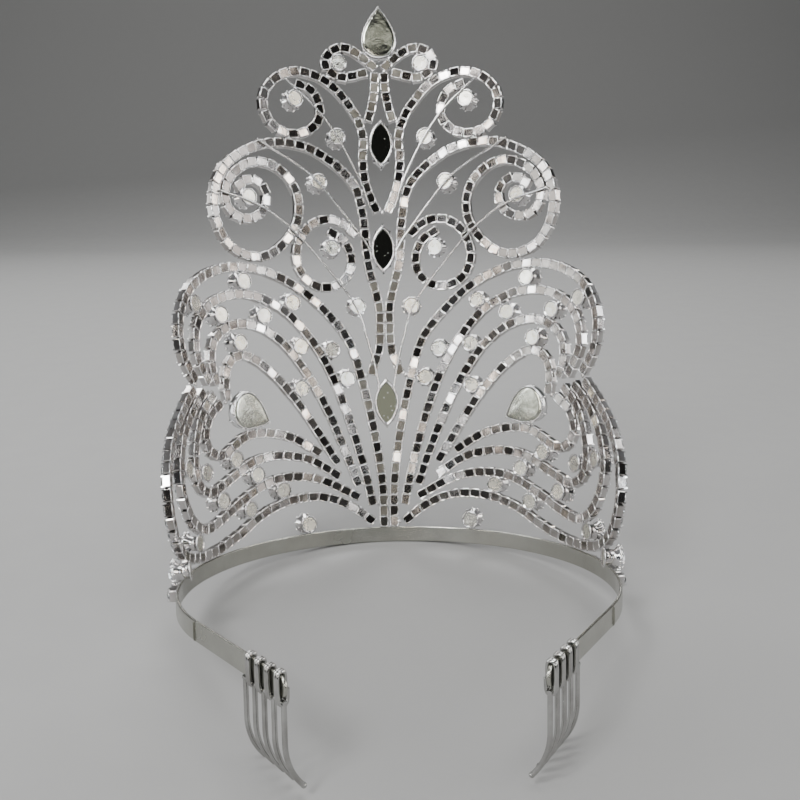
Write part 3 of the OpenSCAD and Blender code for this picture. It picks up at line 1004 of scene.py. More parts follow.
def plating_group() -> NodeTree:
    """Colour, roughness and normal of plated metal that has been handled, with painted shade in its
    recesses.

    Returns:
        The shader group.
    """
    tree = Tree("handled_plating", "ShaderNodeTree")
    tree.take("Color", "Bright", "Dull")
    tree.take("Float", "Dulling", "Spread", "Grime", "Smoothest", "Roughest", "Patch Scale",
              "Scratch Scale", "Scratch Depth")
    place = tree.place()
    patches = tree.noise(place, tree.given("Patch Scale"), detail=4.0, roughness=0.6)
    worn = tree.maths("MULTIPLY", tree.span(patches, start=0.35, end=0.7), tree.given("Dulling"))
    # Painted shade: the recess mark, times its strength, pulls the colour towards the dull one in recesses
    # and in gaps between parts
    shadow = tree.maths("MULTIPLY", tree.mark("recess"), tree.given("Grime"))
    varied = tree.maths("MULTIPLY", tree.mark("tone"), tree.given("Spread"))
    share = tree.maths("ADD", tree.maths("ADD", worn, shadow), varied)
    colour = tree.mix(tree.flow("ShaderNodeClamp", {"Value": share}), "Bright", "Dull")
    rough = tree.span(patches, start=0.3, end=0.75, low=tree.given("Smoothest"),
                      high=tree.given("Roughest"))
    stretched = tree.flow("ShaderNodeMapping", {"Vector": place, "Scale": (1.0, 1.0, 0.12)})
    scratches = tree.noise(stretched, tree.given("Scratch Scale"), detail=3.0, roughness=0.7)
    normal = tree.flow("ShaderNodeBump", {"Height": scratches, "Strength": tree.given("Scratch Depth"),
                                          "Distance": 0.0001})
    tree.give("Color", "Color", colour)
    tree.give("Float", "Roughness", rough)
    tree.give("Vector", "Normal", normal)
    return tree.group


def wavy_foil_group() -> NodeTree:
    """Colour, roughness and normal of thin foil pressed over the back of a stone.

    Returns:
        The shader group.
    """
    tree = Tree("wavy_foil", "ShaderNodeTree")
    tree.take("Color", "Bright", "Dull")
    tree.take("Float", "Wave Scale", "Wave")
    place = tree.place()
    waves = tree.noise(place, tree.given("Wave Scale"), distortion=1.5)
    patches = tree.noise(place, scale=260.0, detail=3.0, roughness=0.6, distortion=0.6)
    colour = tree.mix(tree.span(patches, start=0.4, end=0.68), "Bright", "Dull")
    normal = tree.flow("ShaderNodeBump", {"Height": waves, "Strength": tree.given("Wave"),
                                          "Distance": 0.0012})
    tree.give("Color", "Color", colour)
    tree.give("Float", "Roughness", tree.span(patches, start=0.3, end=0.7, low=0.08, high=0.22))
    tree.give("Vector", "Normal", normal)
    return tree.group


def speckle_group() -> NodeTree:
    """Colour and roughness of a dark mirror with fine bright specks.

    Returns:
        The shader group.
    """
    tree = Tree("speckled_mirror", "ShaderNodeTree")
    tree.take("Color", "Mirror", "Speck")
    tree.take("Float", "Speck Scale", "Rarity")
    cells = tree.add("ShaderNodeTexVoronoi", {"Vector": tree.place(), "Scale": tree.given("Speck Scale")})
    luck = tree.flow("ShaderNodeSeparateColor", {0: cells.outputs["Color"]})
    chosen = tree.maths("GREATER_THAN", luck, tree.given("Rarity"))
    dots = tree.span(cells.outputs["Distance"], start=0.2, end=0.1)
    specks = tree.maths("MULTIPLY", dots, chosen)
    tree.give("Color", "Color", tree.mix(specks, "Mirror", "Speck"))
    tree.give("Float", "Roughness", tree.span(specks, low=0.04, high=0.3))
    return tree.group


@dataclass(frozen=True)
class GroupedMetal:
    """A metal finish whose colour, roughness and normal come from a shader group."""

    name: str

    def build(self, group: NodeTree) -> Material:
        """Makes the material, with each value of the finish on the group's input of that name.

        Args:
            group: The shader group.

        Returns:
            The material.
        """
        material, shader = new_material(self.name)
        links = material.node_tree.links
        node = material.node_tree.nodes.new("ShaderNodeGroup")
        node.node_tree = group
        for item in fields(self)[1:]:
            value = getattr(self, item.name)
            socket = node.inputs[item.name.replace("_", " ").title()]
            socket.default_value = (*value, 1) if isinstance(value, tuple) else value
        for output in node.outputs:
            links.new(output, shader.inputs["Base Color" if output.name == "Color" else output.name])
        shader.inputs["Metallic"].default_value = 1.0
        return material


@dataclass(frozen=True)
class PlatedMetal(GroupedMetal):
    """A plated metal, bright where it is worn smooth and dull in worn patches, with painted shade darkening
    its recesses.
    """

    bright: Rgb
    dull: Rgb
    dulling: float = 0.3
    spread: float = 0.0
    # Strength of the painted shade where the recess mark is set
    grime: float = 0.7
    smoothest: float = 0.06
    roughest: float = 0.2
    patch_scale: float = 150.0
    scratch_scale: float = 900.0
    scratch_depth: float = 0.05


@dataclass(frozen=True)
class WavyFoil(GroupedMetal):
    """The satin foil on the back of a pear stone."""

    bright: Rgb
    dull: Rgb
    wave_scale: float = 120.0
    wave: float = 0.1


@dataclass(frozen=True)
class DarkMirror(GroupedMetal):
    """The dark mirror on the back of a marquise setting."""

    mirror: Rgb
    speck: Rgb = (0.75, 0.76, 0.75)
    speck_scale: float = 650.0
    rarity: float = 0.6


@dataclass(frozen=True)
class CutCrystal:
    """Clear polished crystal with a trace of fingerprints."""

    name: str
    colour: Rgb
    ior: float = 1.56
    smear_scale: float = 400.0
    smear: float = 0.06

    def build(self) -> Material:
        """Makes the material.

        Returns:
            The material.
        """
        material, shader = new_material(self.name)
        nodes = Nodes(material.node_tree)
        smears = nodes.noise(nodes.place(), self.smear_scale)
        rough = nodes.span(smears, start=0.5, end=0.8, high=self.smear)
        material.node_tree.links.new(rough, shader.inputs["Roughness"])
        shader.inputs["Base Color"].default_value = (*self.colour, 1)
        shader.inputs["IOR"].default_value = self.ior
        shader.inputs["Transmission Weight"].default_value = 1.0
        return material


def new_material(name: str) -> tuple[Material, bpy.types.Node]:
    """A material with a Principled BSDF.

    Args:
        name: The material's name.

    Returns:
        The material and its shader node.
    """
    material = bpy.data.materials.new(name)
    material.use_nodes = True
    return material, material.node_tree.nodes["Principled BSDF"]


class Finishes:
    """Every material of the crown."""

    def __init__(self) -> None:
        """Builds them all."""
        plating = plating_group()
        silver, grey = (0.93, 0.93, 0.94), (0.36, 0.33, 0.31)
        self.cup = PlatedMetal("cup_silver", silver, grey, dulling=0.25, spread=0.35, smoothest=0.05,
                               roughest=0.16).build(plating)
        self.setting = PlatedMetal("setting_silver", silver, grey, spread=0.2).build(plating)
        self.disc = PlatedMetal("cream_disc", (0.97, 0.95, 0.87), (0.74, 0.72, 0.62), dulling=0.6,
                                smoothest=0.2, roughest=0.34, patch_scale=260.0).build(plating)
        self.foil = PlatedMetal("stone_foil", (0.95, 0.96, 0.98), (0.8, 0.82, 0.88), smoothest=0.01,
                                roughest=0.03, scratch_depth=0.0).build(plating)
        self.pear_back = WavyFoil("pear_back", (0.58, 0.59, 0.53),
                                  (0.43, 0.44, 0.37)).build(wavy_foil_group())
        self.dark_foil = DarkMirror("dark_foil", (0.46, 0.47, 0.4)).build(speckle_group())
        self.band = PlatedMetal("band_satin", (0.49, 0.49, 0.45), (0.3, 0.3, 0.26), dulling=0.5,
                                smoothest=0.16, roughest=0.3, patch_scale=60.0, scratch_scale=1400.0,
                                scratch_depth=0.25).build(plating)
        self.wire = PlatedMetal("bright_wire", (0.86, 0.86, 0.86), (0.45, 0.43, 0.4), dulling=0.35,
                                smoothest=0.08, roughest=0.22).build(plating)
        self.comb = PlatedMetal("comb_wire", (0.5, 0.5, 0.49), (0.22, 0.21, 0.2), dulling=0.6,
                                smoothest=0.08, roughest=0.22).build(plating)
        self.solder = PlatedMetal("solder", (0.82, 0.82, 0.82), (0.45, 0.43, 0.41), dulling=0.5,
                                  spread=0.3, smoothest=0.14, roughest=0.36, patch_scale=800.0,
                                  scratch_scale=2500.0, scratch_depth=0.3).build(plating)
        self.crystal = CutCrystal("clear_crystal", (0.98, 0.99, 1.0)).build()


# The crown's pieces

def dress(piece: Piece, *finishes: Material) -> Piece:
    """Gives a piece its finish, and a second one on the faces marked as foil.

    Args:
        piece: The piece.
        finishes: One or two materials.

    Returns:
        The piece.
    """
    mesh = piece.data
    mesh.materials.clear()
    for finish in finishes:
        mesh.materials.append(finish)
    if len(finishes) > 1:
        marks = mesh.attributes["foil"].data
        mesh.polygons.foreach_set("material_index", [int(m.value) for m in marks])
    return piece


def keep(piece: Piece, slot: str, *nodes: str) -> None:
    """Puts a finished piece on the crown.

    Args:
        piece: The piece.
        slot: The record's material slot; not used.
        nodes: The nodes that it stands for.
    """
    if nodes:
        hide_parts(*nodes)
    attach(piece, "root")
    LOG.info("%s: %d faces", piece.name, len(piece.data.polygons))


def clear(*parts: Piece) -> None:
    """Removes parts that were only there to be repeated."""
    for part in parts:
        bpy.data.objects.remove(part)


@dataclass
class CupChain:
    """Strands of square cups, each with a round stone, on a common pitch."""

    finishes: Finishes
    pitch: float = 0.0043
    cup_len: float = 0.00412
    corner: float = 0.0003
    rim_w: float = 0.0005
    rung_share: float = 0.6
    panel_z: float = 0.00016
    wall_z: float = 0.0023
    claw_steps: Profile = ((0.0, 0.00184, 0.00028), (0.0, 0.0029, 0.00026), (0.0005, 0.00325, 0.00016))
    link_half: tuple[float, float] = (0.0005, 0.0007)
    link_corner: float = 0.0001
    link_z: tuple[float, float] = (0.0004, 0.0008)
    # Painted shade on the link bars between the cups, as a recess mark
    link_mark: float = 0.6
    stone_margin: float = 0.0005
    stone_cut: Cut = Cut(facets=8, girdle_z=0.0024, girdle_h=0.00012, crown_h=0.0007, depth=0.0011)
    looseness: float = 0.05
    step: float = 0.001
    seed_step: int = 10
    band_seed: int = 500
    kit: dict[str, object] = field(default_factory=dict)
    strands: dict[str, list[Spot]] = field(default_factory=dict)

    def cup(self) -> Piece:
        """A square cup with a rounded rim round its flat back and four claws.

        Returns:
            The cup.
        """
        shape = Shape()
        x, y = self.cup_len / 2, SIZES.chain_w / 2
        w, deep, top = self.rim_w, self.panel_z, self.wall_z
        # Inset, height and recess mark, from the back panel over the rim and down inside; the recess mark
        # paints shade on the back panel and down the walls between cups
        rims = ((1.15 * w, deep, 0.9), (w, deep, 0.9), (0.66 * w, 0.1 * deep, 0.0),
                (0.3 * w, 0.1 * deep, 0.0), (0.0, 1.3 * deep, 0.0), (0.0, 3 * deep, 0.8),
                (0.0, top, 0.5), (0.3 * w, top, 0.2), (0.9 * w, 0.55 * top, 1.0))
        shape.loft([(rounded_square((x - self.rung_share * inset, y - inset), self.corner, z), mark)
                    for inset, z, mark in rims], soft=4)
        for sx in (1, -1):
            for sy in (1, -1):
                foot = Vector((sx * (x - self.corner), sy * (y - self.corner), 0))
                shape.claw(foot, -foot.normalized(), self.claw_steps, square=True)
        return shape.done("cup")

    def link(self) -> Piece:
        """The flat bar that joins two cups.

        Returns:
            The link.
        """
        shape = Shape()
        # The whole link carries painted shade through its recess mark
        shape.loft([(rounded_square(self.link_half, self.link_corner, z), self.link_mark)
                    for z in self.link_z])
        return shape.done("link")

    def stone(self) -> Piece:
        """The round stone of a cup.

        Returns:
            The stone.
        """
        shape = Shape()
        across = SIZES.chain_w - self.stone_margin
        shape.brilliant(Outline(across, across), self.stone_cut)
        return shape.done("chain_stone")

    def band_line(self) -> Line:
        """The line of the chain round the band's front.

        Returns:
            The line's points and their outward directions.
        """
        end = math.radians(SIZES.band_chain_end)
        count = round(2 * end * SIZES.strip_out / self.step)
        line = []
        for i in range(count + 1):
            a = end * (2 * i / count - 1)
            outward = Vector((math.sin(a), -math.cos(a), 0))
            foot = outward * (SIZES.strip_out + SIZES.gap) + Vector((0, 0, SIZES.strip_h / 2))
            line.append((STAND @ foot, STAND.to_3x3() @ outward))
        return line

    def lay(self, tree: NodeTree, node: str, line: Line, seed: int) -> None:
        """Lays one strand in place of its node.

        Args:
            tree: The group that sets the cups.
            node: The strand's node.
            line: Points of its back and their outward directions.
            seed: Number that fixes the strand's unevenness.
        """
        piece = route_mesh(node + "_cups", [line])
        grow(piece, tree, {**self.kit, "Pitch": self.pitch, "Looseness": self.looseness, "Seed": seed})
        keep(piece, "cup_chain", node)

    def build(self) -> None:
        """Lays every strand of the wall and the chain on the band."""
        parts = {"Cup": self.cup(), "Link": self.link(), "Stone": self.stone()}
        look = self.finishes
        self.kit = {**parts, "Metal": look.cup, "Crystal": look.crystal, "Foil": look.foil}
        tree = chain_tree()
        for number, (name, route) in enumerate(ROUTES.items()):
            for side in Side:
                node = f"{name}_{side.word}"
                self.strands[node], line = wall_line(route, side, self.step)
                self.lay(tree, node, line, self.seed_step * number + side.value + 1)
        self.lay(tree, "band_chain", self.band_line(), self.band_seed)
        clear(*parts.values())


@dataclass
class RoundSettings:
    """Round stones in cups behind a flared ring of claws."""

    finishes: Finishes
    sides: int = 24
    disc_d: float = 0.0068
    rim: float = 0.0004
    claws: int = 10
    claw_r: float = 0.00042
    stone_margin: float = 0.0007
    girdle_z: float = 0.0015
    group_turn: float = 40.0
    looseness: float = 0.05
    first_seed: int = 40

    def setting(self) -> Piece:
        """The cup, its raised back rim, the flare and the claws.

        Returns:
            The setting.
        """
        shape = Shape()
        s, rim, disc_r = SIZES, self.rim, self.disc_d / 2
        r, c, z = s.round_d / 2 - self.claw_r, s.cup_d / 2, s.chain_t + s.gap
        top = z + s.ring_h
        # Radius, height and recess mark, from the middle of the disc over its rim to inside the flare; the
        # recess mark paints shade in the groove by the rim, down the cup's side and inside the flare
        profile = [(0.12 * disc_r, 0.0001, 0.0), (disc_r - 2 * rim, -0.00005, 0.0),
                   (disc_r - 1.6 * rim, -0.1 * rim, 1.0), (disc_r - 1.2 * rim, -0.9 * rim, 0.0),
                   (disc_r - 0.5 * rim, -rim, 0.0), (disc_r, -0.5 * rim, 0.0), (disc_r, 0.0, 0.2),
                   (c, 0.0001, 0.6), (c, z, 0.5), (r, z + 0.001, 0.2), (r, top, 0.0),
                   (r - 0.0003, top, 0.1), (r - 0.0006, z + 0.0012, 1.0), (0.4 * c, z, 1.0)]
        shape.loft([(circle(radius, height, self.sides), mark) for radius, height, mark in profile],
                   smooth=True, foils=1)
        thick = self.claw_r
        # How far out, how high and how thick, from each claw's foot to its tip
        steps = ((0.0, z + 0.0007, 0.7 * thick), (0.0002, z + 0.0012, thick), (0.0001, top, thick),
                 (-0.0005, top + 0.0005, 0.9 * thick), (-0.0008, top + 0.0006, 0.5 * thick))
        for way in circle(1.0, 0.0, self.claws):
            shape.claw(r * way, way, steps)
        return shape.done("round_setting")

    def stone(self) -> Piece:
        """The round stone.

        Returns:
            The stone.
        """
        shape = Shape()
        across = SIZES.round_d - 2 * SIZES.sheet_t - self.stone_margin
        girdle = SIZES.chain_t + SIZES.gap + self.girdle_z
        cut = Cut(facets=8, girdle_z=girdle, girdle_h=0.0002, crown_h=0.0012, depth=0.0016)
        shape.brilliant(Outline(across, across), cut)
        return shape.done("round_stone")

    def build(self) -> None:
        """Sets the three groups of round stones."""
        tree, part, stone, look = spots_tree(), self.setting(), self.stone(), self.finishes
        for number, (group, spots) in enumerate(ROUNDS.items()):
            frames = [STAND @ WALL.frame((side.value * a, z), sum(out), self.group_turn * number)
                      for side in Side for a, z, *out in spots]
            piece = spots_mesh(f"{group}_round_jewels", frames)
            grow(piece, tree, {"Part": part, "Stone": stone, "Metal": look.setting, "Back": look.disc,
                               "Crystal": look.crystal, "Foil": look.foil, "Looseness": self.looseness,
                               "Seed": self.first_seed + number})
            keep(piece, "setting_metal", f"{group}_round_settings", f"{group}_round_stones")
        clear(part, stone)


@dataclass
class WalledJewels:
    """Large stones in settings with a wall, claws and a closed back."""

    finishes: Finishes
    kind: str
    draw: Drawer
    count: int
    taper: float
    rims: Profile
    claw_low: float
    gem_margin: tuple[float, float]
    gem_cut: Cut
    claw_high: float = 0.0046
    claws: int = 8
    claw_slant: float = 0.6

    def ring(self, full: Spot, inset: float, z: float) -> Ring:
        """The setting's outline moved in by an inset. Full is its whole width and length."""
        width, length = full
        return self.draw(width - 2 * inset, length - self.taper * inset, SIZES.gap + z, self.count)

    def wall(self, full: Spot) -> Piece:
        """The setting's wall and claws.

        Args:
            full: The setting's width and length.

        Returns:
            The dressed wall.
        """
        shape = Shape()
        shape.loft([(self.ring(full, inset, z), mark) for inset, z, mark in self.rims], closed=True,
                   smooth=True)
        low, high = SIZES.gap + self.claw_low, SIZES.gap + self.claw_high
        # How far inward, how high and how thick, from each claw's foot to its tip
        steps = ((-0.0001, low, 0.0004), (0.0, high - 0.0012, 0.00048),
                 (0.0003, high - 0.0003, 0.00045), (0.0011, high, 0.0003))
        for foot in self.draw(*full, 0, self.claws):
            shape.claw(foot, Vector((-foot.x, -self.claw_slant * foot.y, 0)).normalized(), steps)
        return dress(shape.done(f"{self.kind}_wall"), self.finishes.setting)

    def gem(self, full: Spot) -> Piece:
        """The cut stone, foiled behind.

        Args:
            full: The setting's width and length.

        Returns:
            The dressed stone.
        """
        shape = Shape()
        width, length = (size - margin for size, margin in zip(full, self.gem_margin))
        shape.brilliant(Outline(width, length, self.draw), self.gem_cut)
        return dress(shape.done(f"{self.kind}_gem"), self.finishes.crystal, self.finishes.foil)

    def set_in(self, name: str, frame: Matrix, pieces: list[Piece]) -> None:
        """Sets one jewel in place of its two nodes.

        Args:
            name: The jewel's name.
            frame: From the jewel's frame to the band's.
            pieces: What it is made of.
        """
        for made in pieces:
            made.data.transform(STAND @ frame)
        keep(join(name, pieces), "setting_metal", f"{name}_setting", f"{name}_stone")


@dataclass
class PearJewels(WalledJewels):
    """Pear stones in settings with satin backs that dish a little."""

    kind: str = "pear"
    draw: Drawer = pear
    count: int = 48
    taper: float = 2.6
    # Inset, height and recess mark of each ring of the wall; the recess mark paints shade at the wall's
    # foot and inside below its top
    rims: Profile = ((0.00055, 0.00045, 0.5), (0.00045, 0.0001, 0.0), (0.0002, 0.0, 0.0),
                     (0.0, 0.00015, 0.0), (0.0, 0.0034, 0.1), (0.0002, 0.0036, 0.0),
                     (0.0005, 0.0036, 0.2), (0.0007, 0.0028, 0.8))
    claw_low: float = 0.0008
    gem_margin: tuple[float, float] = (0.0016, 0.0022)
    gem_cut: Cut = Cut(facets=12, girdle_z=SIZES.gap + 0.0034, girdle_h=0.0003, crown_h=0.0019,
                       depth=0.0024, table=0.5)
    panel_shares: tuple[float, ...] = (0.04, 0.25, 0.45, 0.62, 0.76, 0.87)
    panel_z: float = 0.00035
    panel_rise: float = 0.0003
    panel_edge: float = 0.0006
    edge_z: tuple[float, float] = (0.0004, 0.0009)
    # Painted shade at the edge of the back panel, as a recess mark
    edge_mark: float = 0.6

    def panel(self, full: Spot) -> Piece:
        """The back panel, which stands out a little in its middle.

        Args:
            full: The setting's width and length.

        Returns:
            The dressed panel.
        """
        shape = Shape()
        outline = Outline(*full, self.draw)
        heights = [SIZES.gap + self.panel_z - self.panel_rise * (1 - q * q) for q in self.panel_shares]
        rings = [(outline.ring(q, z, self.count), 0.0) for q, z in zip(self.panel_shares, heights)]
        # The rings at the panel's edge carry painted shade as a recess mark
        rings += [(self.ring(full, self.panel_edge, z), self.edge_mark) for z in self.edge_z]
        shape.loft(rings, smooth=True)
        return dress(shape.done("pear_panel"), self.finishes.pear_back)

    def jewel(self, name: str, length: float, frame: Matrix) -> None:
        """Makes one pear jewel of that length."""
        full = (SIZES.pear_w, length)
        self.set_in(name, frame, [self.panel(full), self.wall(full), self.gem(full)])

    def build(self) -> None:
        """Makes the three pear jewels."""
        self.jewel("top_pear", SIZES.pear_l, WALL.frame((0.0, SIZES.top_pear_z)))
        for side in Side:
            spot = (side.value * SIDE_PEAR[0], SIDE_PEAR[1])
            frame = WALL.frame(spot, turn=side.value * SIDE_PEAR_TURN)
            self.jewel(f"{side.word}_pear", SIZES.side_pear_l, frame)


@dataclass
class MarquiseJewels(WalledJewels):
    """Marquise stones in settings with flat dark mirror backs."""

    kind: str = "marquise"
    draw: Drawer = marquise
    count: int = 40
    taper: float = 3.4
    # Inset, height and recess mark of each ring of the wall; the recess mark paints shade at the wall's
    # foot and inside below its top
    rims: Profile = ((0.0010, 0.0005, 0.6), (0.0009, 0.0001, 0.1), (0.0005, 0.0, 0.0),
                     (0.0001, 0.00025, 0.0), (0.0, 0.0008, 0.0), (0.0, 0.0034, 0.1),
                     (0.0002, 0.0036, 0.0), (0.0005, 0.0036, 0.2), (0.0007, 0.0014, 0.8),
                     (0.0011, 0.0009, 1.0))
    claw_low: float = 0.0004
    gem_margin: tuple[float, float] = (0.0014, 0.0025)
    gem_cut: Cut = Cut(facets=10, girdle_z=SIZES.gap + 0.0034, girdle_h=0.0003, crown_h=0.0019,
                       depth=0.0022, table=0.5)
    panel_edge: float = 0.00095
    edge_z: tuple[float, float] = (0.0007, 0.001)

    def build(self) -> None:
        """Makes the three marquise jewels."""
        full = (SIZES.marq_w, SIZES.marq_l)
        for word, height in MARQUISES.items():
            wall, back = self.wall(full), Shape()
            back.loft([(self.ring(full, self.panel_edge, z), 0.0) for z in self.edge_z])
            panel = dress(back.done("marquise_panel"), self.finishes.dark_foil)
            self.set_in(f"{word}_marquise", WALL.frame((0.0, height)), [wall, panel, self.gem(full)])


@dataclass
class SupportWires:
    """Round wires behind the wall."""

    finishes: Finishes
    sides: int = 14
    step: float = 0.0015

    def build(self) -> None:
        """Draws the wires on both sides."""
        tree, radius = wire_tree(), SIZES.wire_d / 2
        for name, route in WIRE_ROUTES.items():
            for side in Side:
                node = f"{name}_{side.word}"
                line = wall_line(route, side, self.step, -radius - SIZES.gap)[1]
                piece = route_mesh(node + "_rod", [line])
                grow(piece, tree, {"Metal": self.finishes.wire, "Radius": radius, "Sides": self.sides})
                keep(piece, "support_wire", node)


@dataclass
class Band:
    """The horseshoe strip with its sharp edges eased."""

    finishes: Finishes
    ease: float = 0.00042
    segments: int = 3
    roundness: float = 0.6
    weld: float = 1e-6
    flat: float = math.radians(0.5)
    sharp: float = math.radians(40)

    def build(self, frame: dict) -> None:
        """Copies the strip, rounds its edges and dresses it.

        Args:
            frame: The loaded frame.
        """
        work = bmesh.new()
        work.from_mesh(frame["nodes"]["band"].data)
        bmesh.ops.remove_doubles(work, verts=work.verts, dist=self.weld)
        bmesh.ops.dissolve_limit(work, angle_limit=self.flat, verts=work.verts, edges=work.edges)
        edges = [e for e in work.edges if e.is_manifold and e.calc_face_angle() > self.sharp]
        bmesh.ops.bevel(work, geom=edges, offset=self.ease, segments=self.segments,
                        profile=self.roundness, affect="EDGES")
        for face in work.faces:
            face.smooth = True
        mesh = bpy.data.meshes.new("band_strip")
        work.to_mesh(mesh)
        work.free()
        piece = dress(shown("band_strip", mesh), self.finishes.band)
        weighted = piece.modifiers.new("even_normals", "WEIGHTED_NORMAL")
        weighted.keep_sharp = True
        keep(piece, "band_metal", "band")


@dataclass
class Combs:
    """Wire combs wound on to the ends of the band."""

    finishes: Finishes
    sides: int = 12
    bend_steps: int = 12
    wrap_r: float = 0.0005
    wrap_shift: float = 0.0039
    wrap_spread: float = 2.1
    wrap_bite: float = 0.0002
    turns: int = 2
    turn_points: int = 20
    bead_share: float = 1.12
    bead_rings: int = 8

    def arm_frame(self) -> Matrix:
        """From the left arm's frame, x along it and y inward, to the band's."""
        return Matrix.Translation(SIZES.arm_start) @ Matrix.Rotation(SIZES.arm_turn, 4, "Z")

    def tooth(self, x: float) -> list[Vector]:
        """The line of one tooth.

        Args:
            x: Its place along the arm.

        Returns:
            Its points, from the spine down to its tip.
        """
        s = SIZES
        start = s.spine + Vector((x, 0, 0))
        line = [start, start - Vector((0, 0, s.tooth_straight / 2))]
        for i in range(self.bend_steps + 1):
            a = math.radians(s.tooth_bend) * i / self.bend_steps
            sway, drop = s.tooth_curve_r * (1 - math.cos(a)), s.tooth_curve_r * math.sin(a)
            line.append(start + Vector((0, sway, -s.tooth_straight - drop)))
        return line

    def wrap(self, x: float) -> list[Vector]:
        """Wire wound round the strip and the spine.

        Args:
            x: The middle of its turns along the arm.

        Returns:
            Its points.
        """
        s, count = SIZES, self.turns * self.turn_points
        deep = s.strip_t / 2 + s.gap + self.wrap_r
        low, high = s.spine.z - s.tooth_d / 2 + self.wrap_bite, s.strip_h + s.gap + self.wrap_r
        middle, tall = (low + high) / 2, (high - low) / 2
        line = []
        for i in range(count + 1):
            a = 2 * math.pi * i / self.turn_points
            across, up = (math.copysign(math.sqrt(abs(v)), v) for v in (math.cos(a), math.sin(a)))
            along = x + self.wrap_spread * self.wrap_r * (i / self.turn_points - self.turns / 2)
            line.append(Vector((along, -s.strip_t / 2 + deep * across, middle + tall * up)))
        return line

    def bead(self, place: Vector) -> Piece:
        """The round tip of a tooth.

        Args:
            place: Its middle.

        Returns:
            The dressed bead.
        """
        shape = Shape()
        r = SIZES.tooth_d / 2 * self.bead_share
        angles = [math.pi * (i + 0.5) / self.bead_rings for i in range(self.bead_rings)]
        shape.loft([([place + v for v in circle(math.sin(a) * r, math.cos(a) * r, self.sides)], 0.0)
                    for a in angles], smooth=True)
        return dress(shape.done("comb_bead"), self.finishes.comb)

    def build(self) -> None:
        """Makes both combs."""
        s, tree, inward = SIZES, wire_tree(), Vector((0, 1, 0))
        teeth = [s.first_tooth + i * s.tooth_pitch for i in range(s.teeth)]
        ends = (teeth[0] - s.tooth_d / 2, teeth[-1] + s.tooth_d / 2)
        lines = [*(self.tooth(x) for x in teeth), [s.spine + Vector((x, 0, 0)) for x in ends]]
        wraps = [self.wrap(x + self.wrap_shift) for x in teeth[:-1]]
        for side in Side:
            whole = STAND @ Matrix.Scale(side.value, 4, (1, 0, 0)) @ self.arm_frame()
            pieces = []
            for routes, radius in ((lines, s.tooth_d / 2), (wraps, self.wrap_r)):
                piece = route_mesh("comb_wire", [[(p, inward) for p in line] for line in routes])
                grow(piece, tree, {"Metal": self.finishes.comb, "Radius": radius, "Sides": self.sides})
                pieces.append(piece)
            pieces += [self.bead(line[-1]) for line in lines[:-1]]
            for piece in pieces:
                piece.data.transform(whole)
                if side is Side.RIGHT:
                    piece.data.flip_normals()
            keep(join(f"comb_{side.word}_wires", pieces), "comb_wire", f"comb_{side.word}")


@dataclass
class Solder:
    """Lumps of solder where strands meet."""

    finishes: Finishes
    strands: dict[str, list[Spot]]
    reach: float = 0.0045
    spacing: float = 0.011
    radius: float = 0.0009
    flatness: float = 0.55
    depth: float = 0.0003
    unevenness: float = 0.0004
    looseness: float = 0.5
    seed: int = 3

    def joints(self) -> list[Spot]:
        """Spots half way between strands that run close to each other.

        Returns:
            The spots, none nearer to another than the spacing.
        """
        close = []
        for first, second in combinations(self.strands.values(), 2):
            for p in first[::2]:
                q = min(second, key=lambda t: math.dist(p, t))
                if math.dist(p, q) < self.reach:
                    close.append((math.dist(p, q), ((p[0] + q[0]) / 2, (p[1] + q[1]) / 2)))
        found: list[Spot] = []
        for _, spot in sorted(close):
            if all(math.dist(spot, other) > self.spacing for other in found):
                found.append(spot)
        return found

    def build(self) -> None:
        """Melts a lump on every joint."""
        lump = Shape()
        ball = bmesh.ops.create_icosphere(lump.work, subdivisions=2, radius=self.radius)
        for vert in ball["verts"]:
            vert.co.z *= self.flatness
        part = lump.done("lump")
        frames = [STAND @ WALL.frame(spot, self.depth) for spot in self.joints()]
        piece = spots_mesh("solder_joints", frames)
        grow(piece, solder_tree(), {"Lump": part, "Metal": self.finishes.solder, "Seed": self.seed,
                                    "Unevenness": self.unevenness, "Looseness": self.looseness})
        clear(part)
        keep(piece, "setting_metal")


# Studio

@dataclass(frozen=True)
class SoftBox:
    """A large soft lamp that looks at the crown."""

    name: str
    place: tuple[float, float, float]
    width: float
    height: float
    watts: float
    colour: Rgb = (1.0, 1.0, 1.0)

    def build(self, target: Vector) -> None:
        """Hangs the lamp.

        Args:
            target: The point that it faces.
        """
        data = bpy.data.lights.new(self.name, "AREA")
        data.shape = "RECTANGLE"
        data.size, data.size_y = self.width, self.height
        data.energy, data.color = self.watts, self.colour
        lamp = shown(self.name, data)
        lamp.location = self.place
        lamp.rotation_euler = (target - lamp.location).to_track_quat("-Z", "Y").to_euler()


@dataclass(frozen=True)
class Camera:
    """The photograph's camera, in the band's frame."""

    place: tuple[float, float, float] = (0.0144, 0.2877, 0.089)
    yaw: float = 3.13
    pitch: float = 5.05
    roll: float = -1.01
    lens: float = 40.5
    sensor: float = 36.0
    nearest: float = 0.01

    def build(self) -> None:
        """Makes the scene's camera."""
        yaw, pitch, roll = (math.radians(v) for v in (self.yaw, self.pitch, self.roll))
        ahead = Vector((-math.sin(yaw) * math.cos(pitch), -math.cos(yaw) * math.cos(pitch),
                        -math.sin(pitch)))
        level = Vector((-math.cos(yaw), math.sin(yaw), 0))
        upright = level.cross(ahead)
        right = math.cos(roll) * level + math.sin(roll) * upright
        up = math.cos(roll) * upright - math.sin(roll) * level
        axes = Matrix((right, up, -ahead)).transposed().to_4x4()
        data = bpy.data.cameras.new("photo_camera")
        data.lens, data.sensor_width, data.clip_start = self.lens, self.sensor, self.nearest
        camera = shown("photo_camera", data)
        camera.matrix_world = STAND @ Matrix.Translation(Vector(self.place)) @ axes
        bpy.context.scene.camera = camera


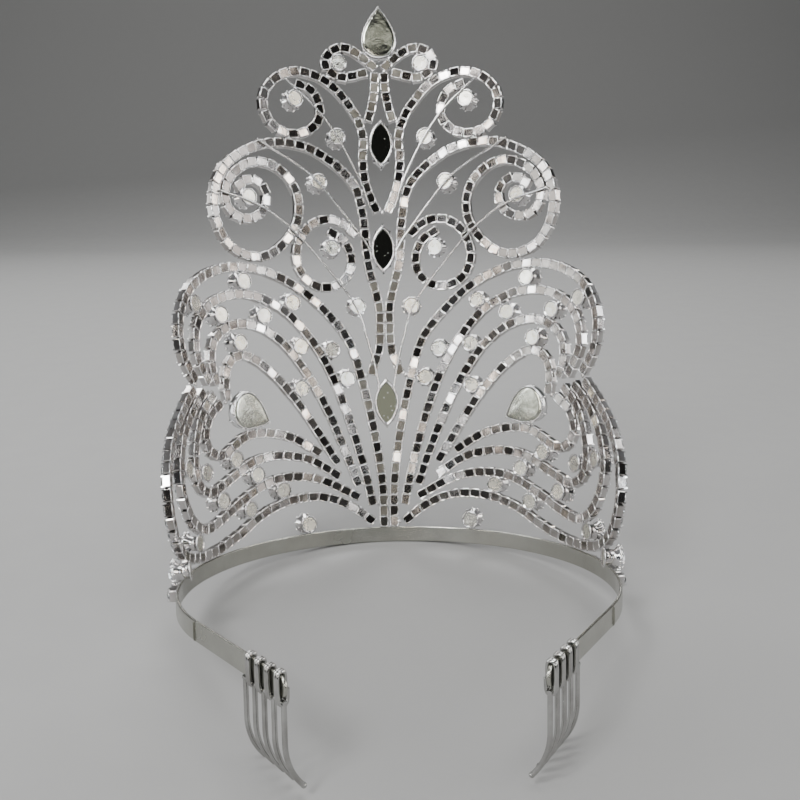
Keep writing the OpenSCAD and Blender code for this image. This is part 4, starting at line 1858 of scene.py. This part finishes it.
@dataclass(frozen=True)
class Studio:
    """A pale floor with a sweep and far end walls, a dim room and soft lamps."""

    floor_w: float = 24.0
    floor_front: float = 14.0
    sweep_y: float = -1.3
    sweep_r: float = 0.9
    sweep_top: float = 2.4
    sweep_step: int = 10
    floor_colour: Rgb = (0.28, 0.28, 0.277)
    grain_scale: float = 60.0
    sky_colour: Rgb = (0.86, 0.88, 0.9)
    strip_turns: tuple[int, ...] = (-95, -71, -50, -24, 9, 33, 58, 84)
    strip_reach: float = 1.35
    strip_z: float = 0.55
    strip_size: tuple[float, float] = (0.06, 0.7)
    strip_watts: float = 2.0
    warm: Rgb = (1.0, 0.93, 0.84)
    cool: Rgb = (0.92, 0.96, 1.0)
    boxes: tuple[SoftBox, ...] = (
        SoftBox("key_box", (0.75, 0.9, 1.3), 0.5, 0.5, 20.0),
        SoftBox("back_box", (0.2, -1.15, 0.95), 1.4, 0.4, 16.0),
        SoftBox("top_box", (-0.2, 0.1, 1.6), 1.0, 1.0, 12.0),
        SoftBox("low_wall", (0.0, 2.5, 0.85), 1.1, 0.5, 0.8, (1.0, 1.0, 0.88)),
        SoftBox("high_wall", (0.0, 1.3, 1.27), 0.9, 0.22, 0.5, (1.0, 1.0, 0.88)),
        SoftBox("left_wall", (1.6, -0.05, 0.45), 1.3, 0.8, 6.0, (0.98, 1.0, 0.97)),
        SoftBox("right_wall", (-1.6, -0.05, 0.45), 1.3, 0.8, 6.0, (1.0, 0.98, 0.96)),
    )

    def strips(self) -> list[SoftBox]:
        """Upright strip lamps that stand round the open side of the crown.

        Returns:
            The lamps, from one side round to the other.
        """
        lamps = []
        for number, turn in enumerate(self.strip_turns):
            a = math.radians(turn)
            place = (self.strip_reach * math.sin(a), self.strip_reach * math.cos(a), self.strip_z)
            colour = self.cool if number % 2 else self.warm
            lamps.append(SoftBox(f"strip_{number}", place, *self.strip_size, self.strip_watts, colour))
        return lamps

    def floor(self) -> None:
        """Lays the floor, which rises in a soft curve before the crown and ends at a wall each side."""
        bends = [math.radians(a) for a in range(0, 91, self.sweep_step)]
        profile = [(self.floor_front, 0.0)]
        profile += [(self.sweep_y - self.sweep_r * math.sin(a), self.sweep_r * (1 - math.cos(a)))
                    for a in bends]
        profile.append((self.sweep_y - self.sweep_r, self.sweep_top))
        half, count = self.floor_w / 2, len(profile)
        points = [(x, y, z) for x in (half, -half) for y, z in profile]
        faces = [(i, i + 1, count + i + 1, count + i) for i in range(count - 1)]
        for x in (half, -half):
            faces.append(tuple(range(len(points), len(points) + count + 1)))
            points += [(x, y, z) for y, z in (*profile, (self.floor_front, self.sweep_top))]
        mesh = bpy.data.meshes.new("floor")
        mesh.from_pydata(points, [], faces)
        mesh.shade_smooth()
        material, shader = new_material("pale_floor")
        nodes = Nodes(material.node_tree)
        rough = nodes.span(nodes.noise(nodes.place(), self.grain_scale), low=0.55, high=0.7)
        material.node_tree.links.new(rough, shader.inputs["Roughness"])
        shader.inputs["Base Color"].default_value = (*self.floor_colour, 1)
        mesh.materials.append(material)
        shown("floor", mesh)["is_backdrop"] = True

    def room(self) -> None:
        """Lights the room: pale low down and dimmer towards the back and overhead."""
        world = bpy.data.worlds.new("studio")
        bpy.context.scene.world = world
        world.use_nodes = True
        nodes = Nodes(world.node_tree)
        way = nodes.flow("ShaderNodeTexCoord", output="Generated")
        parts = nodes.add("ShaderNodeSeparateXYZ", {0: way}).outputs
        behind = nodes.span(parts["Y"], start=0.05, end=0.6, low=0.6, high=0.03)
        above = nodes.span(parts["Z"], end=0.9, low=1.0, high=0.45)
        sky = world.node_tree.nodes["Background"].inputs
        sky["Color"].default_value = (*self.sky_colour, 1)
        world.node_tree.links.new(nodes.maths("MULTIPLY", behind, above), sky["Strength"])

    def build(self, target: Vector) -> None:
        """Sets up floor, room and lamps round a target.

        Args:
            target: The point that the lamps face.
        """
        self.floor()
        self.room()
        for box in (*self.boxes, *self.strips()):
            box.build(target)


def main() -> None:
    """Loads the frame and builds the crown on it."""
    logging.basicConfig(level=logging.INFO, format="%(message)s")
    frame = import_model()
    cad_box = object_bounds()
    Camera().build()
    Studio().build((cad_box[0] + cad_box[1]) / 2)
    finishes = Finishes()
    chain = CupChain(finishes)
    chain.build()
    RoundSettings(finishes).build()
    PearJewels(finishes).build()
    MarquiseJewels(finishes).build()
    SupportWires(finishes).build()
    Band(finishes).build(frame)
    Combs(finishes).build()
    Solder(finishes, chain.strands).build()


if __name__ == "__main__":
    main()
